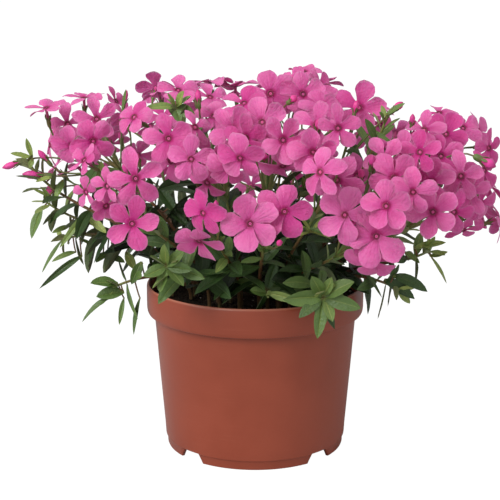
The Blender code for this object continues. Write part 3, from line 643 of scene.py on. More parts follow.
def addRings(gathered, centre, axis, profile, sides, slot, tint, share=(0.0, 1.0)):
    k, n = len(centre), len(profile)
    axes = np.array([faceFrame(a, 18.0 * i) for i, a in enumerate(axis)])
    angle = 2 * np.pi * np.arange(sides) / sides
    around = axes[:, 0, None] * np.cos(angle)[:, None] + axes[:, 1, None] * np.sin(angle)[:, None]
    r = np.array([p[0] for p in profile])[None, :, None, None]
    z = np.array([p[1] for p in profile])[None, :, None, None]
    points = centre[:, None, None] + around[:, None] * r + axis[:, None, None] * z
    ring = np.arange(n * sides).reshape(n, sides)
    after = np.roll(ring, -1, axis=1)
    face = np.stack([ring[:-1], after[:-1], after[1:], ring[1:]], -1).reshape(-1, 4)
    faces = (face[None] + (np.arange(k) * n * sides)[:, None, None]).reshape(-1, 4)
    v = np.broadcast_to(np.linspace(*share, n)[:, None], (n, sides))
    uv = np.stack([np.broadcast_to(np.arange(sides) / sides, (n, sides)), v], -1)
    gathered.add(points, faces, slot, np.tile(uv.reshape(-1, 2), (k, 1)), np.repeat(tint, n * sides))


# Stalk, calyx and tube of each flower on one path: a cubic curve from the head's base to the tube's foot,
# then straight up the tube; the radius swells for the calyx and again at the throat.
stalkLook = {"stalk": 0.5, "calyx": 1.25, "tube": 0.82, "sides": 7, "teeth": 5}


def addStalks(gathered, base, flowers):
    paths, radii = [], []
    for _, centre, face, _, _ in flowers:
        curve = pedicelPath(base, centre, face, 9)
        foot = centre - face * flowerTube
        steps = np.array([0.8, 2.2, 4.4, 5.4, 7.4, 9.2, 10.4, 10.9])[:, None]
        paths.append(np.vstack([curve, foot + face * steps]))
        look = stalkLook
        radii.append([look["stalk"]] * 9 + [look["stalk"] * 1.3, look["calyx"] * 0.9, look["calyx"],
                     look["calyx"] * 0.98, look["tube"] * 1.1, look["tube"], look["tube"],
                     look["tube"] * 1.15, 1.3])
    paths, radii = np.array(paths), np.array(radii)
    tint = draw.uniform(0, 1, len(flowers))
    addTubes(gathered, paths, radii, stalkLook["sides"], tint)
    n = stalkLook["teeth"]
    face = np.repeat([f[2] for f in flowers], n, 0)
    axes = np.array([faceFrame(f[2], f[3]) for f in flowers])
    angle = np.tile(2 * np.pi * np.arange(n) / n, len(flowers)) + draw.uniform(-0.2, 0.2, n * len(flowers))
    away = fanned(axes, n, angle)
    rim = np.repeat([f[1] - f[2] * (flowerTube - 3.6) for f in flowers], n, 0)
    foot = rim + away * stalkLook["calyx"] * 0.86
    lean = draw.uniform(0.05, 0.4, len(foot))[:, None]
    m = len(foot)
    size, none = draw.uniform(3.4, 5.0, m), np.zeros(m)
    addLeaves(gathered, foot, units(face + away * lean), units(away - face * lean), size, np.full(m, 0.52),
              none, np.full(m, 0.3), none, none, np.repeat(tint, n), (1, 1))


# A bud: five folded petals wound into a spindle, r = R(s) (1 + 0.08 cos(5 a + 5 s)), in a toothed calyx.
budLook = {"outline": ([0, 0.1, 0.25, 0.45, 0.62, 0.78, 0.9, 1.0],
                       [0.45, 0.5, 0.52, 0.66, 1.0, 0.97, 0.62, 0.05]),
           "stations": 15, "sides": 15}


def addBuds(gathered, foot, tip, wide, stem, tint):
    foot, tip, wide = np.asarray(foot, float), np.asarray(tip, float), np.asarray(wide, float)
    s = np.linspace(0, 1, budLook["stations"])
    along = tip - foot
    paths = foot[:, None] + along[:, None] * s[None, :, None]
    radii = wide[:, None] * np.interp(s, *budLook["outline"])[None]
    addTubes(gathered, paths, radii, budLook["sides"], tint, 0, 5, 0.07, 5.0)
    axis = units(along)
    size = np.linalg.norm(along, axis=1)
    cup = np.array([0.0, 0.08, 0.2, 0.32, 0.42])
    calyx = foot[:, None] + along[:, None] * (cup - 0.03)[None, :, None]
    addTubes(gathered, calyx, wide[:, None] * np.array([0.3, 0.62, 0.72, 0.7, 0.6])[None], 8, tint, 2)
    n = 5
    axes = np.array([faceFrame(a, 40.0 * i) for i, a in enumerate(axis)])
    angle = np.tile(2 * np.pi * np.arange(n) / n, len(foot))
    away = fanned(axes, n, angle)
    start = np.repeat(foot + along * 0.3, n, 0) + away * np.repeat(wide, n)[:, None] * 0.6
    m = len(start)
    lead = np.repeat(axis, n, 0)
    addLeaves(gathered, start, units(lead + away * 0.3), units(away - lead * 0.3),
              np.repeat(size, n) * draw.uniform(0.22, 0.36, m), np.repeat(wide, n) * 0.3, np.zeros(m),
              np.full(m, 0.3), np.zeros(m), np.zeros(m), np.repeat(tint, n), (3, 3))
    count = len(stem)
    if count:
        addTubes(gathered, np.array(stem), np.full((count, np.array(stem).shape[1]), 0.5), 6, tint, 2)


# Materials. Each is a Principled shader; its patterns read the piece's own surface map, its tint or the
# object's coordinates.
def newGroup(name, inputs):
    group = bpy.data.node_groups.new(name, "ShaderNodeTree")
    for socket, value in inputs.items():
        made = group.interface.new_socket(socket, in_out="INPUT", socket_type="NodeSocketFloat")
        made.default_value = value
    group.interface.new_socket("Value", in_out="OUTPUT", socket_type="NodeSocketFloat")
    return group, group.nodes.new("NodeGroupInput"), group.nodes.new("NodeGroupOutput")


# Mottle: two sizes of noise on the object's coordinates, added and eased between 0 and 1.
def makeMottle():
    group, into, outof = newGroup("mottle", {"Scale": 100.0, "Fine": 0.4})
    nodes, links = group.nodes, group.links
    place = nodes.new("ShaderNodeTexCoord")
    broad, fine = nodes.new("ShaderNodeTexNoise"), nodes.new("ShaderNodeTexNoise")
    times = nodes.new("ShaderNodeMath")
    times.operation = "MULTIPLY"
    times.inputs[1].default_value = 5.0
    blend = nodes.new("ShaderNodeMix")
    ease = nodes.new("ShaderNodeMapRange")
    ease.interpolation_type = "SMOOTHSTEP"
    ease.inputs["From Min"].default_value = 0.32
    ease.inputs["From Max"].default_value = 0.68
    links.new(into.outputs["Scale"], broad.inputs["Scale"])
    links.new(into.outputs["Scale"], times.inputs[0])
    links.new(times.outputs[0], fine.inputs["Scale"])
    links.new(place.outputs["Object"], broad.inputs["Vector"])
    links.new(place.outputs["Object"], fine.inputs["Vector"])
    links.new(into.outputs["Fine"], blend.inputs[0])
    links.new(broad.outputs["Fac"], blend.inputs[2])
    links.new(fine.outputs["Fac"], blend.inputs[3])
    links.new(blend.outputs[0], ease.inputs["Value"])
    links.new(ease.outputs["Result"], outof.inputs["Value"])
    return group


# Veins: stripes along a blade that fan out from its foot, from the map's u and v and the tint.
def makeVeins():
    group, into, outof = newGroup("veins", {"Count": 14.0, "Wander": 2.0})
    nodes, links = group.nodes, group.links
    flat = nodes.new("ShaderNodeUVMap")
    flat.uv_map = "surface"
    parts = nodes.new("ShaderNodeSeparateXYZ")
    tint = nodes.new("ShaderNodeAttribute")
    tint.attribute_name = "tint"
    links.new(flat.outputs[0], parts.inputs[0])
    u, v, w = [nodes.new("ShaderNodeMath") for _ in range(3)]
    for node, a, b in ((u, parts.outputs[0], into.outputs["Count"]),
                       (v, parts.outputs[1], into.outputs["Wander"])):
        node.operation = "MULTIPLY"
        links.new(a, node.inputs[0])
        links.new(b, node.inputs[1])
    w.operation = "MULTIPLY"
    links.new(tint.outputs["Fac"], w.inputs[0])
    w.inputs[1].default_value = 61.0
    joined = nodes.new("ShaderNodeCombineXYZ")
    for k, node in enumerate((u, v, w)):
        links.new(node.outputs[0], joined.inputs[k])
    noise = nodes.new("ShaderNodeTexNoise")
    noise.inputs["Scale"].default_value = 1.0
    noise.inputs["Detail"].default_value = 3.0
    links.new(joined.outputs[0], noise.inputs["Vector"])
    ease = nodes.new("ShaderNodeMapRange")
    ease.inputs["From Min"].default_value = 0.3
    ease.inputs["From Max"].default_value = 0.7
    links.new(noise.outputs["Fac"], ease.inputs["Value"])
    links.new(ease.outputs["Result"], outof.inputs["Value"])
    return group


mottle, veins = makeMottle(), makeVeins()


# A material with short calls for its nodes.
class Finish:
    def __init__(self, name, rough, shine=0.5):
        self.material = bpy.data.materials.new(name)
        self.material.use_nodes = True
        self.tree = self.material.node_tree
        self.shader = self.tree.nodes["Principled BSDF"]
        self.shader.inputs["Roughness"].default_value = rough
        self.shader.inputs["Specular IOR Level"].default_value = shine

    def node(self, kind, **values):
        made = self.tree.nodes.new(kind)
        for key, value in values.items():
            setattr(made, key, value)
        return made

    def link(self, source, target):
        self.tree.links.new(source, target)

    def group(self, group, **values):
        made = self.node("ShaderNodeGroup", node_tree=group)
        for key, value in values.items():
            made.inputs[key].default_value = value
        return made.outputs["Value"]

    def flat(self, k):
        uv = self.node("ShaderNodeUVMap", uv_map="surface")
        parts = self.node("ShaderNodeSeparateXYZ")
        self.link(uv.outputs[0], parts.inputs[0])
        return parts.outputs[k]

    def tint(self):
        return self.node("ShaderNodeAttribute", attribute_name="tint").outputs["Fac"]

    def ramp(self, value, stops, ease="LINEAR"):
        made = self.node("ShaderNodeValToRGB")
        made.color_ramp.interpolation = ease
        elements = made.color_ramp.elements
        while len(elements) < len(stops):
            elements.new(0.5)
        for element, (at, color) in zip(elements, stops):
            element.position = at
            element.color = (*color, 1.0)
        self.link(value, made.inputs[0])
        return made.outputs["Color"]

    def math(self, what, a, b):
        made = self.node("ShaderNodeMath", operation=what)
        for k, value in enumerate((a, b)):
            if isinstance(value, (int, float)):
                made.inputs[k].default_value = value
            else:
                self.link(value, made.inputs[k])
        return made.outputs[0]

    def spread(self, value, low, high, start=0.0, end=1.0):
        made = self.node("ShaderNodeMapRange")
        for key, number in (("From Min", start), ("From Max", end), ("To Min", low), ("To Max", high)):
            made.inputs[key].default_value = number
        self.link(value, made.inputs["Value"])
        return made.outputs["Result"]

    # A colour times another one.
    def scaled(self, color, by):
        return self.mix(1.0, color, by, "MULTIPLY")

    def mix(self, factor, a, b, how="MIX"):
        made = self.node("ShaderNodeMix", data_type="RGBA", blend_type=how)
        if isinstance(factor, (int, float)):
            made.inputs[0].default_value = factor
        else:
            self.link(factor, made.inputs[0])
        for k, value in ((6, a), (7, b)):
            if isinstance(value, tuple):
                made.inputs[k].default_value = (*value, 1.0)
            else:
                self.link(value, made.inputs[k])
        return made.outputs[2]

    def color(self, value):
        self.link(value, self.shader.inputs["Base Color"])

    def rough(self, value):
        self.link(value, self.shader.inputs["Roughness"])

    def bump(self, value, strength, distance):
        made = self.node("ShaderNodeBump")
        made.inputs["Strength"].default_value = strength
        made.inputs["Distance"].default_value = distance
        self.link(value, made.inputs["Height"])
        self.link(made.outputs[0], self.shader.inputs["Normal"])


# Petal colours from the throat to the tip, one row for a petal's face and one for its back.
petalColors = {"deep": (0.45, 0.008, 0.17), "pale": (0.66, 0.13, 0.36),
               "face": [(0.0, (0.20, 0.004, 0.05)), (0.13, (0.32, 0.010, 0.10)), (0.24, (0.54, 0.06, 0.25)),
                        (0.55, (0.63, 0.10, 0.305)), (1.0, (0.67, 0.13, 0.35))],
               "back": [(0.0, (0.50, 0.07, 0.22)), (0.25, (0.60, 0.10, 0.30)), (1.0, (0.70, 0.16, 0.38))]}


def petalFinish(name, side):
    f = Finish(name, 0.62, 0.22)
    f.shader.inputs["Sheen Weight"].default_value = 0.12
    f.shader.inputs["Sheen Roughness"].default_value = 0.4
    f.shader.inputs["Sheen Tint"].default_value = (1.0, 0.8, 0.95, 1.0)
    f.shader.inputs["Subsurface Weight"].default_value = 0.3
    f.shader.inputs["Subsurface Radius"].default_value = (1.0, 0.35, 0.6)
    f.shader.inputs["Subsurface Scale"].default_value = 0.002
    along = f.ramp(f.flat(1), petalColors[side])
    tinted = f.mix(f.spread(f.tint(), 0.0, 0.6, 0.55, 1.0), along, petalColors["pale"])
    tinted = f.mix(f.spread(f.tint(), 0.75, 0.0, 0.0, 0.45), tinted, petalColors["deep"])
    stripe = f.group(veins, Count=11.0, Wander=1.2)
    tinted = f.mix(0.8, along, tinted)
    tinted = f.mix(f.spread(stripe, 0.0, 0.45), tinted, f.scaled(tinted, (0.85, 0.5, 0.75)))
    blotch = f.group(mottle, Scale=150.0, Fine=0.35)
    f.color(f.mix(f.spread(blotch, 0.0, 0.6), tinted, f.scaled(tinted, (1.08, 1.6, 1.15))))
    f.rough(f.spread(blotch, 0.52, 0.68))
    f.bump(f.math("ADD", stripe, f.math("MULTIPLY", blotch, 2.0)), 0.4, 0.0005)
    return f.material


# Leaf colours by tint, from near black to yellow-green. The near-black end is reached where the tint is
# lowered as painted shade deep inside the crown.
leafColors = {"face": [(0.0, (0.008, 0.02, 0.006)), (0.35, (0.03, 0.07, 0.015)),
                       (0.65, (0.11, 0.185, 0.045)), (1.0, (0.27, 0.34, 0.09))],
              "back": [(0.0, (0.03, 0.046, 0.02)), (0.5, (0.12, 0.155, 0.075)), (1.0, (0.26, 0.30, 0.13))]}


def leafFinish(name, side):
    f = Finish(name, 0.42, 0.42 if side == "face" else 0.3)
    base = f.ramp(f.tint(), leafColors[side])
    blotch = f.group(mottle, Scale=160.0, Fine=0.5)
    base = f.mix(f.spread(blotch, 0.0, 0.5), base, f.scaled(base, (1.45, 1.3, 1.1)))
    middle = f.math("ABSOLUTE", f.math("SUBTRACT", f.flat(0), 0.5), 0.0)
    rib = f.spread(middle, 0.55, 0.0, 0.012, 0.06)
    base = f.mix(rib, base, f.scaled(base, (2.3, 1.7, 1.9)))
    stripe = f.group(veins, Count=7.0, Wander=16.0)
    base = f.mix(f.spread(stripe, 0.0, 0.3), base, f.scaled(base, (0.7, 0.78, 0.7)))
    f.color(f.mix(f.spread(f.flat(1), 0.5, 0.0, 0.0, 0.16), base, (0.17, 0.14, 0.05)))
    f.rough(f.spread(blotch, 0.36, 0.52) if side == "face" else f.spread(blotch, 0.55, 0.7))
    f.bump(f.math("ADD", stripe, f.math("MULTIPLY", rib, -2.0)), 0.35, 0.0005)
    return f.material


stalkColors = [(0.0, (0.16, 0.13, 0.045)), (0.4, (0.13, 0.12, 0.04)), (0.52, (0.10, 0.13, 0.035)),
               (0.70, (0.15, 0.11, 0.05)), (0.78, (0.50, 0.07, 0.22)), (1.0, (0.62, 0.06, 0.28))]
calyxColors = [(0.0, (0.12, 0.15, 0.04)), (0.5, (0.10, 0.14, 0.04)), (1.0, (0.17, 0.09, 0.06))]
stemColors = [(0.0, (0.10, 0.055, 0.025)), (0.35, (0.15, 0.055, 0.03)), (0.7, (0.16, 0.075, 0.035)),
              (1.0, (0.15, 0.17, 0.05))]
budColors = [(0.0, (0.25, 0.2, 0.1)), (0.35, (0.55, 0.05, 0.22)), (0.65, (0.70, 0.05, 0.33)),
             (1.0, (0.45, 0.02, 0.18))]
eyeColors = [(0.0, (0.22, 0.004, 0.06)), (0.3, (0.11, 0.002, 0.025)), (0.6, (0.05, 0.001, 0.01)),
             (0.8, (0.20, 0.015, 0.05)), (1.0, (0.36, 0.06, 0.08))]


# Green and reddish parts that are coloured along their length, with a mottled skin.
def skinFinish(name, stops, rough, strength):
    f = Finish(name, rough, 0.4)
    base = f.ramp(f.flat(1), stops)
    blotch = f.group(mottle, Scale=260.0, Fine=0.45)
    base = f.mix(f.spread(blotch, 0.0, 0.7), base, f.scaled(base, (0.75, 1.5, 0.9)))
    f.color(f.mix(f.spread(f.tint(), 0.0, 0.45), base, f.scaled(base, (1.5, 0.9, 0.9))))
    f.rough(f.spread(blotch, rough - 0.08, rough + 0.1))
    f.bump(blotch, strength, 0.0003)
    return f.material


# Moulded plastic: warm brown, a little cloudy, with fine scuffs round it and a soft shine, and a painted
# highlight: a lighter band round the top of the rim.
potLook = {"low": (0.235, 0.042, 0.018), "high": (0.28, 0.054, 0.025), "paintedRimHighlight": (0.48, 0.2, 0.13),
           "rough": (0.34, 0.46)}


def potFinish():
    f = Finish("pot_plastic", 0.42, 0.42)
    cloud = f.group(mottle, Scale=14.0, Fine=0.25)
    grain = f.group(mottle, Scale=900.0, Fine=0.5)
    place = f.node("ShaderNodeTexCoord")
    stretch = f.node("ShaderNodeMapping")
    stretch.inputs["Scale"].default_value = (40.0, 40.0, 900.0)
    f.link(place.outputs["Object"], stretch.inputs["Vector"])
    scuff = f.node("ShaderNodeTexNoise")
    scuff.inputs["Scale"].default_value = 1.0
    scuff.inputs["Detail"].default_value = 4.0
    f.link(stretch.outputs[0], scuff.inputs["Vector"])
    marks = f.spread(scuff.outputs["Fac"], 0.0, 1.0, 0.6, 0.78)
    base = f.mix(cloud, potLook["low"], potLook["high"])
    base = f.mix(f.math("MULTIPLY", marks, 0.10), base, (0.42, 0.13, 0.08))
    height = f.node("ShaderNodeSeparateXYZ")
    f.link(place.outputs["Object"], height.inputs[0])
    # Painted highlight: above about 91 mm, along the rim's top, the colour is mixed towards a light tan.
    f.color(f.mix(f.spread(height.outputs[2], 0.0, 0.6, 0.0909, 0.0918), base, potLook["paintedRimHighlight"]))
    f.rough(f.math("ADD", f.spread(cloud, *potLook["rough"]), f.math("MULTIPLY", marks, 0.12)))
    f.bump(f.math("ADD", f.math("MULTIPLY", grain, 0.5), f.math("MULTIPLY", marks, 0.4)), 0.12, 0.0002)
    return f.material


def soilFinish():
    f = Finish("potting_soil", 0.95, 0.15)
    blotch = f.group(mottle, Scale=340.0, Fine=0.6)
    base = f.ramp(blotch, [(0.0, (0.010, 0.007, 0.005)), (0.6, (0.032, 0.021, 0.014)),
                           (1.0, (0.07, 0.048, 0.03))])
    f.color(f.mix(f.spread(f.tint(), 0.0, 1.0, 0.9, 0.97), base, (0.5, 0.47, 0.42)))
    f.bump(blotch, 0.9, 0.0012)
    return f.material


petalFront, petalBack = petalFinish("petal_face", "face"), petalFinish("petal_back", "back")
leafFront, leafBack = leafFinish("leaf_face", "face"), leafFinish("leaf_back", "back")
stalkSkin = skinFinish("flower_stalk", stalkColors, 0.5, 0.3)
calyxSkin = skinFinish("calyx", calyxColors, 0.5, 0.3)
stemSkin = skinFinish("stem_skin", stemColors, 0.5, 0.4)
budSkin = skinFinish("bud_skin", budColors, 0.45, 0.3)
eyeSkin = skinFinish("flower_eye", eyeColors, 0.5, 0.1)
potPlastic, soilSkin = potFinish(), soilFinish()
print("materials made")

# The same layout as the solids: where each flower and each shoot stands. The tall leafy shoots and their
# leaves come first, and the flowers keep clear of them.
room = Room()
plans = leafShootPlans()
shoots = layShoots(room, [plan for plan in plans if plan[1][2] > 150])
for shoot in shoots:
    layLeaves(room, shoot)
flowers, bases = layFlowers(room)
shoots += layShoots(room, flowerShootPlans(bases, flowers) + [plan for plan in plans if plan[1][2] <= 150])
print("laid out", len(flowers), "flowers and", len(shoots), "shoots")


# Pot: a profile carried round the axis, its lowest edge lifted in the four notches of the foot.
pot = {"outside": [(47.4, 0.0), (48.6, 0.0), (49.1, 0.25), (49.3, 0.8), (49.45, 4.9), (49.75, 5.35),
                   (50.2, 5.5), (50.35, 6.2), (50.7, 12), (53.2, 42), (55.6, 72), (55.8, 74.6),
                   (56.0, 75.5), (56.5, 75.8), (58.6, 75.95), (59.3, 76.3), (59.7, 77.2), (59.95, 79.0),
                   (60.0, 84), (59.95, 90.4), (59.8, 91.3), (59.5, 91.8), (59.0, 92.0), (58.75, 91.9)],
       "inside": [(58.6, 91.4), (58.5, 78.6), (58.2, 77.8), (57.4, 77.3), (54.8, 76.9), (54.4, 76.2),
                  (54.2, 72), (51.7, 42), (49.3, 12), (48.9, 8.4), (48.2, 7.4), (46.0, 7.2), (37.5, 7.2),
                  (30.5, 7.2), (12.0, 7.2)],
       "under": [(12.0, 5.8), (30.5, 5.8), (37.5, 5.8), (46.6, 5.8), (47.2, 5.4), (47.2, 0.6)],
       "around": 168, "notch": 5.7, "notchHalf": (9.9, 6.1), "hole": 3.5, "holeRing": 34.0,
       "holeAngles": (92.56, 182.56, 272.56, 2.56)}


def notchLift(angle):
    # The notch's height above the floor by angle: a flat top between sloped ends, four times round.
    away = np.abs(np.degrees(angle) % 90.0 - 45.0)
    outer, inner = pot["notchHalf"]
    return pot["notch"] * np.clip((outer - away) / (outer - inner), 0, 1)


def makePot():
    outline = np.array(pot["outside"] + pot["inside"] + pot["under"])
    split = len(pot["outside"] + pot["inside"])
    corners = np.radians([45.0 + side * half for half in pot["notchHalf"] for side in (-1, 1)])
    corners = np.concatenate([corners + k * np.pi / 2 for k in range(4)]) % (2 * np.pi)
    even = 2 * np.pi * np.arange(pot["around"]) / pot["around"]
    far = np.abs(even[:, None] - corners[None]).min(1) > 0.008
    angle = np.sort(np.concatenate([even[far], corners]))
    n, m = len(outline), len(angle)
    r, z = outline[:, :1] + 0 * angle[None], outline[:, 1:] + 0 * angle[None]
    lift = notchLift(angle)[None] / pot["notch"] * 0.985 * (r > 46.9)
    z = np.where(z < pot["notch"], z + lift * (pot["notch"] - z), z)
    points = np.concatenate([np.stack([r * np.cos(angle), r * np.sin(angle), z], -1).reshape(-1, 3),
                             [[0, 0, 7.2], [0, 0, 5.8]]])
    ring = np.arange(n * m).reshape(n, m)
    after, below = np.roll(ring, -1, 1), np.roll(ring, -1, 0)
    face = np.stack([ring, after, np.roll(below, -1, 1), below], -1)
    face = np.delete(face, split - 1, axis=0).reshape(-1, 4)
    none = np.full(m, -1)
    top = np.stack([ring[split - 1], after[split - 1], none + n * m + 1, none], -1)
    bottom = np.stack([after[split], ring[split], none + n * m + 2, none], -1)
    mesh = makeMesh("pot_wall", points, np.concatenate([face, top, bottom]), sharp=0)
    wall = bpy.data.objects.new("pot_wall", mesh)
    spots = np.radians(pot["holeAngles"])
    centre = np.stack([np.cos(spots) * pot["holeRing"], np.sin(spots) * pot["holeRing"], 0 * spots], -1)
    drills = Gathered()
    paths = centre[:, None] + np.array([[[0.0, 0.0, 4.0], [0.0, 0.0, 6.5], [0.0, 0.0, 9.0]]])
    addTubes(drills, paths, np.full((len(spots), 3), pot["hole"]), 24, np.zeros(len(spots)))
    drill = bpy.data.objects.new("drill", drills.mesh("drill"))
    for obj in (wall, drill):
        bpy.context.scene.collection.objects.link(obj)
    cut = wall.modifiers.new("holes", "BOOLEAN")
    cut.operation, cut.solver, cut.object = "DIFFERENCE", "EXACT", drill
    mesh = bpy.data.meshes.new_from_object(wall.evaluated_get(bpy.context.evaluated_depsgraph_get()))
    bpy.data.objects.remove(wall)
    bpy.data.objects.remove(drill)
    mesh.shade_smooth()
    mesh.set_sharp_from_angle(angle=math.radians(38))
    return mesh


makePiece("pot_body", makePot(), [potPlastic], ["pot"])
print("pot made")


# Soil: a disc of rings whose height is a sum of soft waves and random crumbs, closed below, with loose
# crumbs and a few pale grains on it.
soil = {"top": 83.2, "radius": 57.6, "rings": 46, "around": 130, "crumbs": 900, "size": (0.35, 1.3)}


def makeSoil():
    rings, around = soil["rings"], soil["around"]
    r = soil["radius"] * np.linspace(0, 1, rings + 1)[1:, None] ** 0.8
    a = 2 * np.pi * np.arange(around)[None] / around
    x, y = r * np.cos(a), r * np.sin(a)
    z = soil["top"] + 0.7 * np.sin(x / 7 + 1.3) * np.cos(y / 8) + 0.4 * np.sin(x / 2.7 + y / 3.1)
    z = z + draw.uniform(-0.45, 0.45, z.shape)
    z[-1] -= 0.9
    low = np.array([[58.0, 79.6], [57.2, 78.4], [54.2, 77.6], [48.6, 12.0], [47.8, 9.2], [20.0, 9.0]])
    wall = np.stack([low[:, :1] * np.cos(a), low[:, :1] * np.sin(a), low[:, 1:] + 0 * a], -1)
    points = np.concatenate([np.stack([x, y, z], -1), wall]).reshape(-1, 3)
    n = rings + len(low)
    ring = np.arange(n * around).reshape(n, around)
    after = np.roll(ring, -1, 1)
    face = np.stack([ring[1:], after[1:], after[:-1], ring[:-1]], -1).reshape(-1, 4)
    none = np.full(around, -1)
    top = np.stack([ring[0], after[0], none + n * around + 1, none], -1)
    bottom = np.stack([after[-1], ring[-1], none + n * around + 2, none], -1)
    points = np.concatenate([points, [[0, 0, soil["top"] + 0.5], [0, 0, 9.0]]])
    g = Gathered()
    g.add(points, np.concatenate([face, top, bottom]), 0, np.zeros((len(points), 2)), 0.0)
    k = soil["crumbs"]
    spot = draw.uniform(0, 1, k) ** 0.5 * (soil["radius"] - 2.0)
    turn = draw.uniform(0, 2 * np.pi, k)
    size = draw.uniform(*soil["size"], k) * draw.uniform(0.5, 1, k)
    place = np.stack([spot * np.cos(turn), spot * np.sin(turn), soil["top"] + 0.6 + 0 * spot], -1)
    block = np.array([[1, 0, 0], [0, 1, 0], [-1, 0, 0], [0, -1, 0], [0, 0, 0.9], [0, 0, -0.9]], float)
    points = place[:, None] + block[None] * size[:, None, None] * draw.uniform(0.6, 1.2, (k, 6, 1))
    eight = [[0, 1, 4], [1, 2, 4], [2, 3, 4], [3, 0, 4], [1, 0, 5], [2, 1, 5], [3, 2, 5], [0, 3, 5]]
    face = np.array([f + [-1] for f in eight])
    faces = np.where(face[None] >= 0, face[None] + (np.arange(k) * 6)[:, None, None], -1).reshape(-1, 4)
    g.add(points, faces, 0, np.zeros((k * 6, 2)), np.repeat(draw.uniform(0, 1, k), 6))
    return g.mesh("soil_body")


makePiece("soil_body", makeSoil(), [soilSkin], ["potting_soil"])
print("soil made")


# Buds seen from the front: the head that carries them, tip and foot (across, down in pixels), how far in
# front of the pot's axis in millimetres, widest radius in millimetres, tint.
budsSeen = [(8, (378, 138), (380, 158), 62, 4.0, 0.2), (0, (22, 174), (54, 176), 8, 2.3, 0.4),
            (11, (496, 167), (474, 156), 34, 2.7, 0.3), (5, (297, 96), (287, 104), 52, 1.9, 0.9),
            (9, (403, 102), (389, 114), 40, 1.9, 0.95), (6, (264, 153), (262, 163), 70, 2.2, 0.4),
            (0, (2, 168), (27, 160), 4, 1.8, 0.6), (2, (127, 90), (123, 110), 26, 1.1, 0.9),
            (1, (46, 190), (60, 187), 4, 2.6, 0.8), (0, (38, 150), (52, 166), 10, 1.6, 0.5)]


# Small buds of a head stand between its flowers on thin stalks from the head's base.
def headBuds(number, base, own):
    feet, tips, wide, tints, stems = [], [], [], [], []
    for head, tip, foot, ahead, size, tint in budsSeen:
        if head == number:
            feet.append(seenPoint(*foot, ahead))
            tips.append(seenPoint(*tip, ahead + 2.0))
            wide.append(size)
            tints.append(tint)
    centre = np.mean([f[1] for f in own], axis=0)
    for _ in range(3):
        face = unit(unit(centre - base) + draw.normal(0, 0.4, 3) + [0.0, 0.0, 0.45])
        face = unit(np.array([face[0], face[1], max(face[2], 0.15)]))
        reach = np.linalg.norm(centre - base) * draw.uniform(0.62, 0.86)
        size = draw.uniform(6.0, 11.0)
        feet.append(base + face * reach)
        tips.append(feet[-1] + unit(face + [0, 0, 0.3]) * size)
        wide.append(size * 0.16)
        tints.append(draw.uniform(0.2, 1.0))
    for foot, tip in zip(feet, tips):
        lead = unit(foot - tip)
        reach = np.linalg.norm(foot - base)
        rise = base + unit(foot - base) * reach * 0.3
        stems.append(bezier(base, rise, foot + lead * reach * 0.3, foot, 10))
    return np.array(feet), np.array(tips), np.array(wide), np.array(stems), np.array(tints)


def makeHead(number):
    own = [f for f in flowers if f[0] == number]
    base = bases[number]
    petals = Gathered()
    addPetals(petals, own, draw.uniform(0.27, 0.4, len(own)))
    centre = np.array([f[1] for f in own])
    face = np.array([f[2] for f in own])
    tint = draw.uniform(0, 1, len(own))
    addRings(petals, centre, face, eyeLook["profile"], eyeLook["sides"], 2, tint, (0.0, 0.7))
    addRings(petals, centre, face, eyeLook["knob"], 6, 2, tint, (0.8, 1.0))
    name, end = f"flower_head_{number + 1:02d}", f"_{number + 1:02d}"
    makePiece("petals" + end, petals.mesh("petals"), [petalFront, petalBack, eyeSkin], [name])
    stalks = Gathered()
    addStalks(stalks, base, own)
    makePiece("stalks" + end, stalks.mesh("stalks"), [stalkSkin, calyxSkin], [name])
    buds = Gathered()
    addBuds(buds, *headBuds(number, base, own))
    makePiece("buds" + end, buds.mesh("buds"), [budSkin, calyxSkin, calyxSkin, calyxSkin], [name])


for number in sorted(bases):
    makeHead(number)
print("flower heads made")


# Leaves on a shoot: pairs up its stem, each at right angles to the last, longest in the middle, and leaning
# outwards more the older they are. A leafy shoot whose tip is below broadBelow has broader ones. Young
# leaves are lighter, and leaves deep inside the crown are painted darker as painted shade.
shootLook = {"bare": 10.0, "broadBelow": 135.0, "step": 7.5, "length": (15, 25), "half": 0.135,
             "fold": (0.15, 0.55)}


